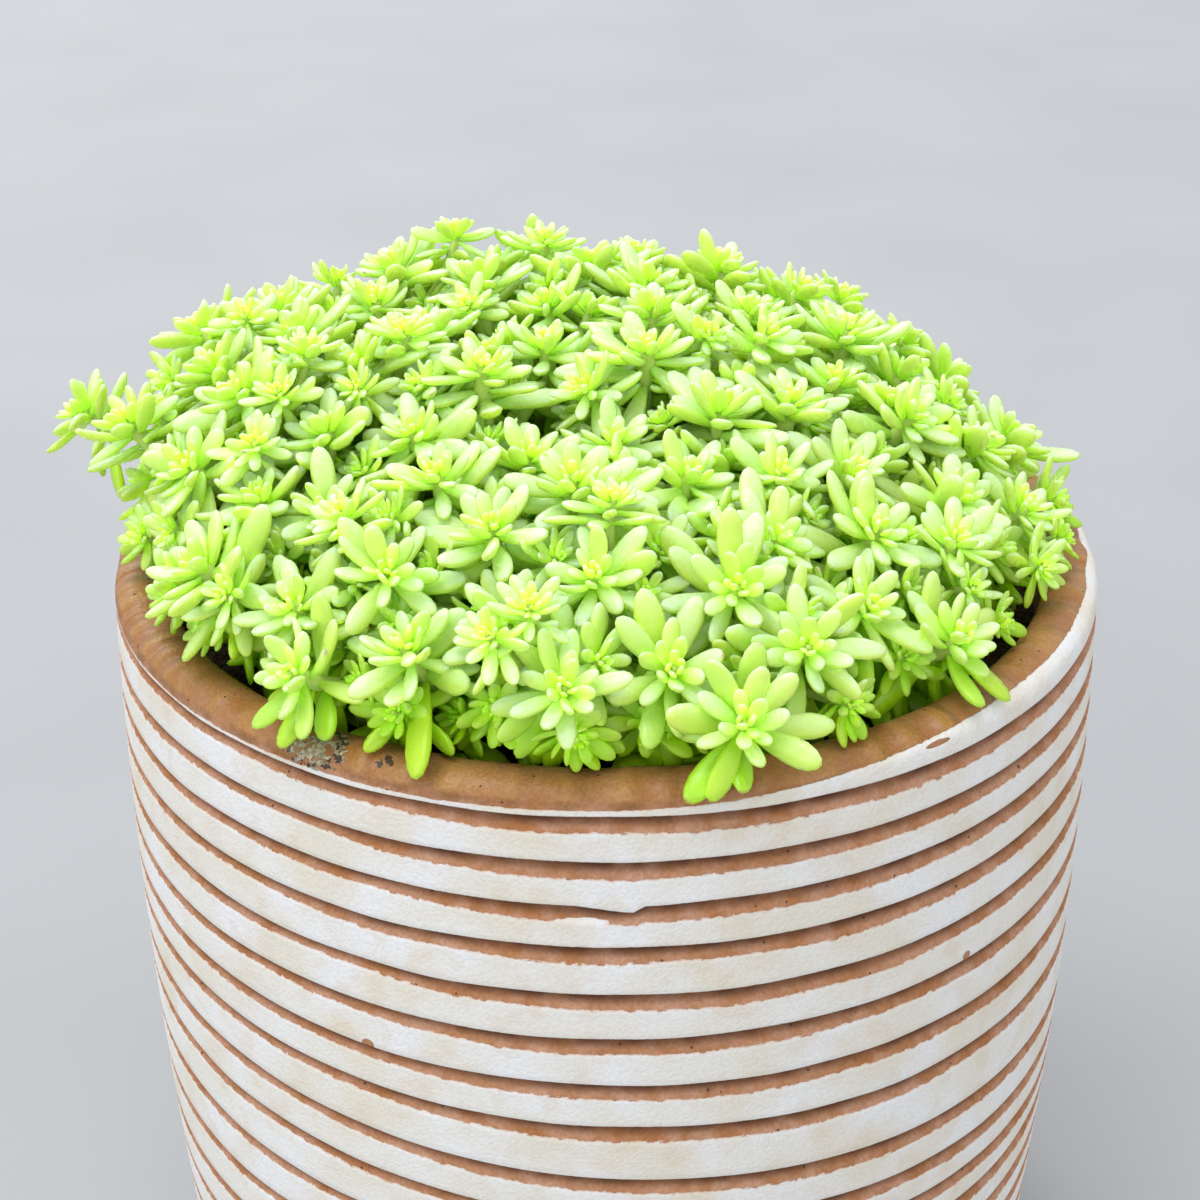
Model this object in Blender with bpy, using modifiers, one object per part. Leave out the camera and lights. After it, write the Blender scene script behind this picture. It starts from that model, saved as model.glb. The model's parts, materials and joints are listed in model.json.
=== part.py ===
"""Japanese stonecrop growing in a striped clay pot.

A turned clay pot, its block of potting soil, and the leafy stems that stand in holes in the soil.
Metres, +Z up. The origin is the middle of the pot's flat base, and the pot's front faces -Y.
Each stem is one body with its one or two rosettes of fleshy leaves.
"""

import math
import random
from dataclasses import dataclass, field

import bmesh
import bpy
from mathutils import Quaternion, Vector
from mathutils.bvhtree import BVHTree

MM = 0.001
UP = Vector((0, 0, 1))

# The pot: a thick clay wall, nearly straight, drawn in a little at the foot.
POT_HEIGHT = 100 * MM
BELLY_RADIUS = 55.1 * MM
BELLY_HEIGHT = 73 * MM
FOOT_RADIUS = 51.4 * MM
FOOT_BEVEL = 1.5 * MM
WALL = 6 * MM
FLOOR_THICKNESS = 7 * MM
RIM_ROLL = 2.5 * MM
POT_SIDES = 28
GROOVE_COUNT = 17
GROOVE_TOP = 96.8 * MM
GROOVE_PITCH = 5.39 * MM
GROOVE_WIDTH = 2.0 * MM
GROOVE_DEPTH = 0.8 * MM
GROOVE_STEP = 0.3 * MM
DRAIN_COUNT = 3
DRAIN_SIDES = 8
DRAIN_RADIUS = 3.5 * MM
DRAIN_CIRCLE = 24 * MM

# The grooves are cut by hand, and run downhill to the right by this much, most at one height.
SLANT = 4.7 * MM
SLANT_HEIGHT = 50 * MM
SLANT_SPREAD = 13 * MM

# The soil fills the pot to a little below the rim, and has a plain hole for the foot of each stem.
SOIL_TOP = 93 * MM
SOIL_CROWN = 1 * MM
SEAT_GAP = 0.3 * MM
HOLE_RADIUS = 1.45 * MM
HOLE_DEPTH = 6 * MM
HOLE_SIDES = 5

# The mat of foliage: a dome, higher at the back and on the left, that comes down to the rim.
HEAD_COUNT = 80
STEM_COUNT = 57
MAT_WIDTH = 95 * MM
MAT_DEPTH = 103 * MM
MAT_MIDDLE = Vector((-1, -3, 0)) * MM
MAT_TOP = 119 * MM
MAT_EDGE_DROP = 14.5 * MM
MAT_RISE_BACK = 7 * MM
MAT_RISE_LEFT = 2 * MM
MAT_BULGE = 6 * MM
MAT_BULGE_TURN = math.radians(152)
MAT_SHOULDER = 9 * MM
MAT_SHOULDER_TURN = math.radians(166)
EDGE_CROWDING = 0.44
EDGE_LEAN = math.radians(48)
LEAN_JITTER = math.radians(9)
PLACE_JITTER = 1.2 * MM
HEIGHT_JITTER = 2 * MM
ROSETTE_SIZES = (0.86, 1.14)
FOOT_SHARE = 0.84
GOLDEN_ANGLE = math.radians(137.508)
SEED = 27

# One stem strays over the rim at the left, behind the middle of the pot.
STRAY_TIP = Vector((-61, 20, 105.5)) * MM
STRAY_AXIS = Vector((-0.8, 0.1, 0.6)).normalized()
STRAY_FOOT = Vector((-40, 14, 0)) * MM

# The stem and the bud at its tip have five sides, and the bud's belt of ten faces grows the leaves.
STEM_SIDES = 5
BELT_FACES = 2 * STEM_SIDES
STEM_RADIUS = 0.85 * MM
FORK_THINNING = 0.7
COLLAR = 1 * MM
BUD_RADIUS = 1.2 * MM
BUD_BELT = 1.5 * MM
BUD_TIP = 1.1 * MM

# How a stem's middle may bow aside, to pass another stem: across and along its own plane.
BOWS = [(across * MM, along * MM) for across in (0, 2, -2, 3.5, -3.5) for along in (0, 2, -2)]
RAISE_STEP = 0.7 * MM
RAISE_TRIES = 12

# What a leaf tries when something is in its way: degrees up, degrees round, a share of its length.
BENDS = (
    (0, 0, 1), (10, 0, 1), (-10, 0, 1), (0, 12, 1), (0, -12, 1), (20, 0, 1), (-20, 0, 1),
    (10, 12, 0.95), (10, -12, 0.95), (-10, 12, 0.95), (-10, -12, 0.95), (30, 0, 0.9), (-30, 0, 0.9),
    (0, 0, 0.8), (20, 0, 0.75), (-20, 0, 0.75), (0, 0, 0.64), (28, 0, 0.6), (10, 0, 0.5),
)
CLEARANCE = 0.3 * MM
OWN_LEAF_START = 0.4
LEAF_SEAT = (0, 0.45, 0.8)


@dataclass
class Whorl:
    """One ring of leaves round a bud: its belt faces, how its leaves stand, and their shape.

    The outline holds rings across a leaf: the share of its length, then of its width and thickness.
    """

    belt_faces: tuple
    seat_height: float
    rise: float
    length: float
    width: float
    thickness: float
    keeled: bool
    outline: tuple


INNER_WHORL = Whorl(
    belt_faces=(0, 2, 4, 6, 8),
    seat_height=0.66 * BUD_BELT,
    rise=math.radians(44),
    length=5.6 * MM,
    width=2.9 * MM,
    thickness=1.6 * MM,
    keeled=True,
    outline=((0.62, 1.0, 1.0),),
)
OUTER_WHORL = Whorl(
    belt_faces=(1, 3, 5, 7, 9),
    seat_height=0.33 * BUD_BELT,
    rise=math.radians(9),
    length=8.4 * MM,
    width=3.5 * MM,
    thickness=1.6 * MM,
    keeled=False,
    outline=((0.36, 0.84, 0.9), (0.76, 1.0, 1.0)),
)


@dataclass
class Shoot:
    """A stretch of stem that ends in one rosette."""

    stem: int
    path: list
    axis: Vector
    spin: float
    size: float
    thinning: float = 1.0
    leaves: dict = field(default_factory=dict)

    @property
    def turn(self):
        return UP.rotation_difference(self.axis)


def material(name, colour, roughness):
    """A matte material of one colour."""
    made = bpy.data.materials.new(name)
    made.use_nodes = True
    shader = made.node_tree.nodes["Principled BSDF"]
    shader.inputs["Base Color"].default_value = (*colour, 1)
    shader.inputs["Roughness"].default_value = roughness
    shader.inputs["Metallic"].default_value = 0
    return made


def new_collection(name):
    made = bpy.data.collections.new(name)
    bpy.context.scene.collection.children.link(made)
    return made


def new_object(name, mesh, collection):
    made = bpy.data.objects.new(name, mesh)
    collection.objects.link(made)
    return made


def with_modifiers_applied(made):
    """The object, with its mesh as its modifiers leave it."""
    bpy.context.view_layer.update()
    evaluated = made.evaluated_get(bpy.context.evaluated_depsgraph_get())
    mesh = bpy.data.meshes.new_from_object(evaluated)
    made.modifiers.clear()
    made.data = mesh
    return made


def join_or_cut(made, others, operation):
    """One Boolean with a whole collection, applied, and the collection's objects then removed."""
    boolean = made.modifiers.new("boolean", "BOOLEAN")
    boolean.operation = operation
    boolean.operand_type = "COLLECTION"
    boolean.collection = others
    with_modifiers_applied(made)
    for used in list(others.objects):
        bpy.data.objects.remove(used)
    bpy.data.collections.remove(others)


def turned(name, profile, collection):
    """A body turned round Z from (radius, height) points, down its outside from axis to axis."""
    mesh = bpy.data.meshes.new(name)
    edges = [(i, i + 1) for i in range(len(profile) - 1)]
    mesh.from_pydata([(radius, 0, height) for radius, height in profile], edges, [])
    made = new_object(name, mesh, collection)
    screw = made.modifiers.new("turn", "SCREW")
    screw.steps = screw.render_steps = POT_SIDES
    screw.use_merge_vertices = True
    screw.merge_threshold = 0.01 * MM
    return with_modifiers_applied(made)


def upright_cutter(name, place, radius, sides, low, high, collection):
    """A plain upright cylinder to cut with, from one height to another."""
    mesh = bpy.data.meshes.new(name)
    bm = bmesh.new()
    depth = high - low
    bmesh.ops.create_cone(
        bm, cap_ends=True, segments=sides, radius1=radius, radius2=radius, depth=depth
    )
    bm.to_mesh(mesh)
    bm.free()
    made = new_object(name, mesh, collection)
    made.location = (place.x, place.y, low + depth / 2)
    made.hide_render = True
    made.display_type = "WIRE"


def pot_radius(z):
    """The pot's outside radius at a height: widest at the belly, drawn in towards the foot."""
    return BELLY_RADIUS - (BELLY_RADIUS - FOOT_RADIUS) * ((z - BELLY_HEIGHT) / BELLY_HEIGHT) ** 2


def inside_radius(z):
    """The radius of the straight inside wall at a height."""
    low = pot_radius(FLOOR_THICKNESS) - WALL
    high = pot_radius(POT_HEIGHT) - WALL
    return low + (high - low) * (z - FLOOR_THICKNESS) / (POT_HEIGHT - FLOOR_THICKNESS)


def soil_height(radius):
    """The soil's surface, a little higher in the middle than at the wall."""
    return SOIL_TOP + SOIL_CROWN * (1 - (radius / inside_radius(SOIL_TOP)) ** 2)


def grooved_wall():
    """The outside of the wall below the rim, with a sharp upper edge to each groove."""
    points = []
    for count in range(GROOVE_COUNT):
        top = GROOVE_TOP - count * GROOVE_PITCH
        deepest = top - GROOVE_STEP
        bottom = top - GROOVE_WIDTH
        points.append((pot_radius(top), top))
        points.append((pot_radius(deepest) - GROOVE_DEPTH, deepest))
        points.append((pot_radius(bottom), bottom))
    return points


def slant_grooves(mesh):
    """Lowers the grooves on the right and raises them on the left."""
    for vertex in mesh.vertices:
        reach = math.hypot(vertex.co.x, vertex.co.y)
        on_wall = reach > pot_radius(vertex.co.z) - WALL / 2
        if on_wall and FOOT_BEVEL * 1.01 < vertex.co.z <= GROOVE_TOP:
            off = (vertex.co.z - SLANT_HEIGHT) / SLANT_SPREAD
            vertex.co.z -= SLANT / (1 + off * off) * vertex.co.x / reach


def make_pot(collection):
    """The clay pot: floor, inside wall, rolled rim, grooved outside, and flat base with drain holes."""
    outside = pot_radius(POT_HEIGHT)
    inside = outside - WALL
    rim = [
        (inside_radius(POT_HEIGHT - RIM_ROLL), POT_HEIGHT - RIM_ROLL),
        (inside + 0.25 * WALL, POT_HEIGHT - 0.15 * RIM_ROLL),
        (inside + 0.6 * WALL, POT_HEIGHT),
        (outside - 0.1 * WALL, POT_HEIGHT - 0.35 * RIM_ROLL),
    ]
    profile = [
        (0, FLOOR_THICKNESS),
        (inside_radius(FLOOR_THICKNESS), FLOOR_THICKNESS),
        *rim,
        *grooved_wall(),
        (pot_radius(FOOT_BEVEL), FOOT_BEVEL),
        (FOOT_RADIUS - FOOT_BEVEL, 0),
        (0, 0),
    ]
    pot = turned("pot", profile, collection)
    slant_grooves(pot.data)
    drains = new_collection("drain cutters")
    for count in range(DRAIN_COUNT):
        place = Quaternion(UP, math.tau * count / DRAIN_COUNT) @ Vector((0, DRAIN_CIRCLE, 0))
        name = f"drain cutter {count + 1}"
        low, high = -FLOOR_THICKNESS, 2 * FLOOR_THICKNESS
        upright_cutter(name, place, DRAIN_RADIUS, DRAIN_SIDES, low, high, drains)
    join_or_cut(pot, drains, "DIFFERENCE")
    pot.data.materials.append(material("fired clay", (0.52, 0.27, 0.17), 0.75))


def make_soil(feet, collection):
    """The block of soil, with a hole for each stem's foot."""
    surface_radius = inside_radius(SOIL_TOP) - SEAT_GAP
    bottom = FLOOR_THICKNESS + SEAT_GAP
    profile = [
        (0, soil_height(0)),
        (surface_radius, soil_height(surface_radius)),
        (inside_radius(bottom) - SEAT_GAP, bottom),
        (0, bottom),
    ]
    soil = turned("soil", profile, collection)
    holes = new_collection("stem hole cutters")
    for count, foot in enumerate(feet):
        low = foot.z - SEAT_GAP
        name = f"stem hole cutter {count + 1}"
        upright_cutter(name, foot, HOLE_RADIUS, HOLE_SIDES, low, low + 2 * HOLE_DEPTH, holes)
    join_or_cut(soil, holes, "DIFFERENCE")
    soil.data.materials.append(material("potting soil", (0.06, 0.04, 0.03), 0.95))


def in_pot_or_soil(point, margin):
    """Whether a point is in the clay or the soil, or within a margin of them."""
    reach = math.hypot(point.x, point.y)
    if reach < pot_radius(POT_HEIGHT) - WALL - margin:
        return point.z < soil_height(reach) + margin
    return reach < pot_radius(point.z) + margin and point.z < POT_HEIGHT + margin


def line_hits_pot(stops, margin):
    """Whether any of the spots along a line comes within a margin of the clay or the soil."""
    for start, end in zip(stops, stops[1:]):
        if any(in_pot_or_soil(start.lerp(end, share), margin) for share in (0.25, 0.5, 0.75, 1)):
            return True
    return False


def head_place(count, draw):
    """A rosette's place in plan, as a share of the mat's size: evenly spread round a spiral."""
    reach = ((count + 0.5) / HEAD_COUNT) ** EDGE_CROWDING
    angle = count * GOLDEN_ANGLE
    x = reach * math.cos(angle) + draw.uniform(-1, 1) * PLACE_JITTER / (MAT_WIDTH / 2)
    y = reach * math.sin(angle) + draw.uniform(-1, 1) * PLACE_JITTER / (MAT_DEPTH / 2)
    return x, y


def head_tip(x, y, draw):
    """A rosette's place on the dome and the way it faces: up in the middle and out at the edge."""
    share = min(1, math.hypot(x, y))
    tilt = (MAT_RISE_BACK * y - MAT_RISE_LEFT * x) * (1 - share**4)
    height = MAT_TOP + tilt - MAT_EDGE_DROP * share**4 + draw.uniform(-1, 1) * HEIGHT_JITTER
    place = MAT_MIDDLE + Vector((x * MAT_WIDTH / 2, y * MAT_DEPTH / 2, height))
    outward = Vector((x, y, 0)).normalized()
    around = math.atan2(y, x)
    bulge = max(0, math.cos(around - MAT_BULGE_TURN))
    shoulder = max(0, math.cos(around - MAT_SHOULDER_TURN))
    place += outward * MAT_BULGE * bulge**3 * share**2 + UP * MAT_SHOULDER * shoulder**8 * share**3
    lean = EDGE_LEAN * share**1.6 + draw.gauss(0, LEAN_JITTER)
    sideways = draw.gauss(0, LEAN_JITTER)
    axis = outward * math.sin(lean) + UP * math.cos(lean) + outward.cross(UP) * math.sin(sideways)
    return place, axis.normalized()


def stems_of_heads(tips, draw):
    """Groups the rosettes into stems: enough neighbours share a forked stem to leave the stem count."""
    free = list(range(len(tips)))
    draw.shuffle(free)
    stems = []
    while free:
        first = free.pop(0)
        group = [first]
        if len(stems) < HEAD_COUNT - STEM_COUNT:
            nearest = min(free, key=lambda other: (tips[other][0] - tips[first][0]).length)
            free.remove(nearest)
            group.append(nearest)
        stems.append(group)
    return stems


def foot_under(places):
    """Where a stem stands in its hole: under its rosettes, drawn in towards the middle of the pot."""
    middle = sum(places, Vector()) / len(places) * FOOT_SHARE
    surface = soil_height(math.hypot(middle.x, middle.y))
    return Vector((middle.x, middle.y, surface - HOLE_DEPTH + SEAT_GAP))


def stem_path(start, tip, axis, bow):
    """Four points of a stem: straight up out of its hole, over a bowed middle, and on to its tip."""
    across, along = bow
    collar = Vector((start.x, start.y, start.z + HOLE_DEPTH + COLLAR))
    reach = (tip - collar).length
    middle = (collar + UP * reach * 0.4 + tip - axis * reach * 0.4) / 2
    middle += axis.cross(UP) * across + UP.cross(axis.cross(UP)) * along
    return [start, collar, middle, tip]


def ring(centre, turn, radius, spin):
    """The corners of a regular ring across the direction that turn gives to Z."""
    angles = [spin + math.tau * side / STEM_SIDES for side in range(STEM_SIDES)]
    return [centre + turn @ Vector((radius * math.cos(a), radius * math.sin(a), 0)) for a in angles]


def stem_rings(shoot, swell=0.0):
    """The rings along a shoot's stem, below its bud."""
    radius = STEM_RADIUS * shoot.thinning + swell
    turns = [Quaternion(), Quaternion(), Quaternion().slerp(shoot.turn, 0.6), shoot.turn]
    return [ring(point, turn, radius, shoot.spin) for point, turn in zip(shoot.path, turns)]


def tube_tree(rings, tip):
    """A search tree of a tube of rings that ends in a point, with its middle and its reach from there."""
    points = [point for loop in rings for point in loop]
    sides = len(rings[0])
    faces = [tuple(range(sides))]
    for row in range(len(rings) - 1):
        for side in range(sides):
            after = (side + 1) % sides
            low, high = row * sides, (row + 1) * sides
            faces.append((low + side, low + after, high + after))
            faces.append((low + side, high + after, high + side))
    last = (len(rings) - 1) * sides
    faces += [(last + side, last + (side + 1) % sides, len(points)) for side in range(sides)]
    points.append(tip)
    middle = sum(points, Vector()) / len(points)
    reach = max((point - middle).length for point in points)
    return BVHTree.FromPolygons(points, faces), middle, reach


def shoot_tree(shoot, swell):
    """A search tree of a shoot's stem and bud."""
    top = shoot.path[-1] + shoot.axis * BUD_BELT * shoot.size
    belt = ring(top, shoot.turn, BUD_RADIUS * shoot.size + swell, shoot.spin)
    return tube_tree([*stem_rings(shoot, swell), belt], top + shoot.axis * BUD_TIP * shoot.size)


def touches(found, others):
    """Whether a searched tube meets any of the others."""
    tree, middle, reach = found
    near = (other for other, centre, size in others if (centre - middle).length < reach + size)
    return any(tree.overlap(other) for other in near)


def is_clear(shoot, others):
    """Whether a shoot's stem and bud are clear of the pot and of other stems."""
    stops = shoot.path[1:] + [shoot.path[-1] + shoot.axis * BUD_BELT]
    if line_hits_pot(stops, STEM_RADIUS + CLEARANCE):
        return False
    return not touches(shoot_tree(shoot, CLEARANCE), others)


def main_shoot(stem, foot, tip, axis, draw, others):
    """A stem's first shoot, raised clear of the rim and bowed clear of the other stems."""
    spin = draw.uniform(0, math.tau)
    size = draw.uniform(*ROSETTE_SIZES)
    for lift in range(RAISE_TRIES):
        for bow in BOWS:
            path = stem_path(foot, tip + UP * lift * RAISE_STEP, axis, bow)
            shoot = Shoot(stem, path, axis, spin, size)
            if is_clear(shoot, others):
                return shoot
    return None


def forked_shoot(trunk, tip, axis, draw, others):
    """A stem's second shoot, which leaves the first a little below its bowed middle."""
    spin = draw.uniform(0, math.tau)
    size = draw.uniform(*ROSETTE_SIZES)
    start = trunk.path[2].lerp(trunk.path[1], 0.35)
    for lift in range(RAISE_TRIES):
        raised = tip + UP * lift * RAISE_STEP
        path = [start, start.lerp(raised, 0.4) + UP * MM, start.lerp(raised, 0.7) + UP * MM, raised]
        shoot = Shoot(trunk.stem, path, axis, spin, size, FORK_THINNING)
        if is_clear(shoot, others):
            return shoot
    return None


def plant_mat():
    """All the shoots of the mat with the stray one last, and the place of each stem's foot."""
    draw = random.Random(SEED)
    tips = [head_tip(*head_place(count, draw), draw) for count in range(HEAD_COUNT)]
    groups = [[tips[head] for head in group] for group in stems_of_heads(tips, draw)]
    groups.sort(key=lambda group: group[0][0].y)
    feet = [foot_under([tip for tip, _ in group]) for group in groups]
    groups.append([(STRAY_TIP, STRAY_AXIS)])
    feet.append(foot_under([STRAY_FOOT / FOOT_SHARE]))
    shoots = []
    for stem, (group, foot) in enumerate(zip(groups, feet)):
        others = [shoot_tree(other, 0) for other in shoots]
        trunk = main_shoot(stem, foot, *group[0], draw, others)
        shoots.append(trunk)
        if len(group) == 2:
            shoots.append(forked_shoot(trunk, *group[1], draw, others))
    return shoots, feet


def leaf_shape(shoot, index, whorl, bend, swell=0.0):
    """A leaf's three-sided rings, the first of them in its seat on the bud, and its tip."""
    up_degrees, round_degrees, share = bend
    rise = whorl.rise + math.radians(up_degrees)
    around = shoot.spin + index * math.tau / BELT_FACES + math.radians(round_degrees)
    out = Vector((math.cos(around), math.sin(around), 0))
    along = shoot.turn @ (out * math.cos(rise) + UP * math.sin(rise))
    face = shoot.turn @ (UP * math.cos(rise) - out * math.sin(rise))
    side = along.cross(face)
    size = shoot.size
    seat = shoot.path[-1] + shoot.turn @ (out * 0.9 * BUD_RADIUS + UP * whorl.seat_height) * size
    length = whorl.length * size * share
    rings = []
    for station, width_share, depth_share in (LEAF_SEAT, *whorl.outline):
        centre = seat + along * length * station
        half = side * (whorl.width * size * width_share / 2 + swell)
        flat = face * (0.4 * whorl.thickness * size * depth_share + swell)
        ridge = face * (0.6 * whorl.thickness * size * depth_share + swell)
        if whorl.keeled:
            rings.append([centre - half + flat, centre + half + flat, centre - ridge])
        else:
            rings.append([centre + ridge, centre + half - flat, centre - half - flat])
    return rings, seat + along * (length + swell)


def leaf_tree(shoot, index, whorl, bend, start, swell=0.0):
    """A leaf's search tree, which begins some of the way from its seat to its next ring."""
    rings, tip = leaf_shape(shoot, index, whorl, bend, swell)
    rings[0] = [low.lerp(high, start) for low, high in zip(rings[0], rings[1])]
    return tube_tree(rings, tip)


def leaf_hits_pot(shoot, index, whorl, bend):
    """Whether any of a leaf's long edges comes too near to the clay or the soil."""
    rings, tip = leaf_shape(shoot, index, whorl, bend)
    return any(line_hits_pot([*line, tip], 2 * CLEARANCE) for line in zip(*rings))


def grow_leaf(shoot, index, whorl, grown):
    """Gives one belt face its leaf, bent clear of the pot and of what grew before it."""
    own = [leaf_tree(shoot, other, *shape, OWN_LEAF_START) for other, shape in shoot.leaves.items()]
    others = [found for owner, found in grown if owner is not shoot]
    for bend in BENDS:
        swollen = leaf_tree(shoot, index, whorl, bend, 0, CLEARANCE)
        if leaf_hits_pot(shoot, index, whorl, bend) or touches(swollen, others):
            continue
        if not touches(leaf_tree(shoot, index, whorl, bend, OWN_LEAF_START), own):
            shoot.leaves[index] = (whorl, bend)
            grown.append((shoot, leaf_tree(shoot, index, whorl, bend, 0)))
            return


def grow_leaves(shoots):
    """Grows every rosette's leaves, the upright inner ones first."""
    grown = [(shoot, shoot_tree(shoot, 0)) for shoot in shoots]
    for whorl in (INNER_WHORL, OUTER_WHORL):
        for shoot in sorted(shoots, key=lambda shoot: -shoot.path[-1].z):
            for index in whorl.belt_faces:
                grow_leaf(shoot, index, whorl, grown)


def drawn_out(bm, face, points):
    """Draws a face out onto points that run the same way round, with the least twist."""
    new = bmesh.ops.extrude_discrete_faces(bm, faces=[face])["faces"][0]
    corners = list(new.verts)
    count = len(points)

    def travel(shift):
        steps = (corner.co - points[(side + shift) % count] for side, corner in enumerate(corners))
        return sum(step.length for step in steps)

    shift = min(range(count), key=travel)
    for side, corner in enumerate(corners):
        corner.co = points[(side + shift) % count]
    return new


def pointed(bm, face, tip):
    """Closes a face to a point."""
    bmesh.ops.poke(bm, faces=[face])["verts"][0].co = tip


def belt_index(shoot, face):
    """Which of the ten places round the bud a belt face has."""
    local = shoot.turn.inverted() @ (face.calc_center_median() - shoot.path[-1])
    around = math.atan2(local.y, local.x) - shoot.spin
    return round(around / (math.tau / BELT_FACES)) % BELT_FACES


def stem_mesh_to_belt(bm, shoot):
    """A five-sided stem up to the bud, and the belt of ten faces round the bud, which it gives back."""
    rings = stem_rings(shoot)
    bmesh.ops.create_cone(
        bm, cap_ends=True, segments=STEM_SIDES, radius1=1, radius2=1, depth=1
    )
    caps = [face for face in bm.faces if len(face.verts) == STEM_SIDES]
    caps.sort(key=lambda face: face.calc_center_median().z)
    for face, points in zip(caps, rings):
        for corner in face.verts:
            side = round(math.atan2(corner.co.y, corner.co.x) / (math.tau / STEM_SIDES) - 0.25)
            corner.co = points[side % STEM_SIDES]
    top = caps[1]
    for points in rings[2:]:
        top = drawn_out(bm, top, points)
    before = set(bm.faces)
    middle = shoot.path[-1] + shoot.axis * BUD_BELT * shoot.size
    spin = shoot.spin + math.tau / BELT_FACES
    top = drawn_out(bm, top, ring(middle, shoot.turn, BUD_RADIUS * shoot.size, spin))
    belt = [face for face in bm.faces if face not in before and face is not top]
    belt = bmesh.ops.triangulate(bm, faces=belt, quad_method="SHORT_EDGE")["faces"]
    pointed(bm, top, middle + shoot.axis * BUD_TIP * shoot.size)
    return belt


def shoot_mesh(shoot):
    """A stem with a bud at its tip, and a leaf drawn out of each belt face that has one."""
    bm = bmesh.new()
    for seat in stem_mesh_to_belt(bm, shoot):
        index = belt_index(shoot, seat)
        if index in shoot.leaves:
            rings, tip = leaf_shape(shoot, index, *shoot.leaves[index])
            for points in rings[1:]:
                seat = drawn_out(bm, seat, points)
            pointed(bm, seat, tip)
    bmesh.ops.triangulate(bm, faces=bm.faces[:])
    mesh = bpy.data.meshes.new(f"shoot of stem {shoot.stem + 1}")
    bm.to_mesh(mesh)
    bm.free()
    return mesh


def make_stem(stem, shoots, collection, leaf_material):
    """One leafy stem, with its fork joined on where it has one."""
    made = new_object(f"stonecrop_stem_{stem + 1:02d}", shoot_mesh(shoots[0]), collection)
    if len(shoots) > 1:
        forks = new_collection("forks")
        for fork in shoots[1:]:
            new_object("fork", shoot_mesh(fork), forks)
        join_or_cut(made, forks, "UNION")
    made.data.materials.clear()
    made.data.materials.append(leaf_material)


def main():
    for old in list(bpy.data.objects):
        bpy.data.objects.remove(old)
    collection = new_collection("potted japanese stonecrop")
    shoots, feet = plant_mat()
    grow_leaves(shoots)
    make_pot(collection)
    make_soil(feet, collection)
    leaf_material = material("stonecrop leaf", (0.42, 0.55, 0.20), 0.5)
    for stem in range(len(feet)):
        own = [shoot for shoot in shoots if shoot.stem == stem]
        make_stem(stem, own, collection, leaf_material)


main()
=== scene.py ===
"""The looks of a potted japanese stonecrop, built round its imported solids.

Metres, +Z up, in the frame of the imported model: the origin is the middle of the pot's base, and the
pot's front faces -Y. The sections follow the real thing as it is put together: the clay pot, the soil,
the leafy stems, and last the stage that shows it.
"""

import json
import math
import random
from dataclasses import dataclass, replace

import bmesh
import bpy
import numpy as np
from mathutils import Matrix, Quaternion, Vector
from mathutils.bvhtree import BVHTree

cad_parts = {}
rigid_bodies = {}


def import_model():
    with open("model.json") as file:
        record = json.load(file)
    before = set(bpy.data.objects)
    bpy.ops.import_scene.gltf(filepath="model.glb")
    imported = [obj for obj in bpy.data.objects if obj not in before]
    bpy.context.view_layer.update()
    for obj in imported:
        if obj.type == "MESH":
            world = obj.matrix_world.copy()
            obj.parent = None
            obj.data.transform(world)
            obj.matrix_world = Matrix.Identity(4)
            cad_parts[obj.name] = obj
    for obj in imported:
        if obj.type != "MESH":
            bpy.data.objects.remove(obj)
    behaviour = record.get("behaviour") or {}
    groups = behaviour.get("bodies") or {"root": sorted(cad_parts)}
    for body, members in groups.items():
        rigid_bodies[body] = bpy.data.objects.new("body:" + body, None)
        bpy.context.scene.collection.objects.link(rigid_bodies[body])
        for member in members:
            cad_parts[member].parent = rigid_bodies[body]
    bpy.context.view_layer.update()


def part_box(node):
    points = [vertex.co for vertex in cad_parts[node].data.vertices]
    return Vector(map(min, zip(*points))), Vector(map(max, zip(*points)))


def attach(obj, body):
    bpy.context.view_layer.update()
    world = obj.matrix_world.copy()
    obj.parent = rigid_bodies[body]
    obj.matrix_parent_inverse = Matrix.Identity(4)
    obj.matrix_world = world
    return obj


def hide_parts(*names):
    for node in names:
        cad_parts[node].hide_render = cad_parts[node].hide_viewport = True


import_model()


# The clay pot
# A thick-walled pot, turned on a wheel from pink-brown clay and fired without glaze. Its outside is coated
# with white slip up to the rim, and grooves cut by hand through the slip show the clay. It stands on its
# flat base, which has three drain holes.

MM = 0.001
UP = Vector((0, 0, 1))
POT_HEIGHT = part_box("pot")[1].z
BELLY_RADIUS = 55.1 * MM
BELLY_HEIGHT = 73 * MM
FOOT_RADIUS = 51.4 * MM
FOOT_BEVEL = 1.5 * MM
WALL = 6 * MM
FLOOR_THICKNESS = 7 * MM
RIM_ROLL = 2.5 * MM
RIM_ROWS = 15
DRAIN_COUNT = 3
DRAIN_RADIUS = 3.5 * MM
DRAIN_CIRCLE = 24 * MM

# The grooves, with how much higher than evenly spaced each of the upper ones was cut. All run downhill
# to the right, most at one height, and they are narrower on the left.
GROOVE_COUNT = 17
GROOVE_TOP = 96.8 * MM
GROOVE_PITCH = 5.39 * MM
GROOVE_RISES = [rise * MM for rise in (0, 0.5, 1.1, 1.6, 1.5, 1.5, 1.2, 1.3)]
GROOVE_WIDTH = 1.85 * MM
GROOVE_WIDTH_LEFT = 1.15 * MM
GROOVE_DEPTH = 0.8 * MM
SLANT = 4.7 * MM
SLANT_HEIGHT = 50 * MM
SLANT_SPREAD = 13 * MM

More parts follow.
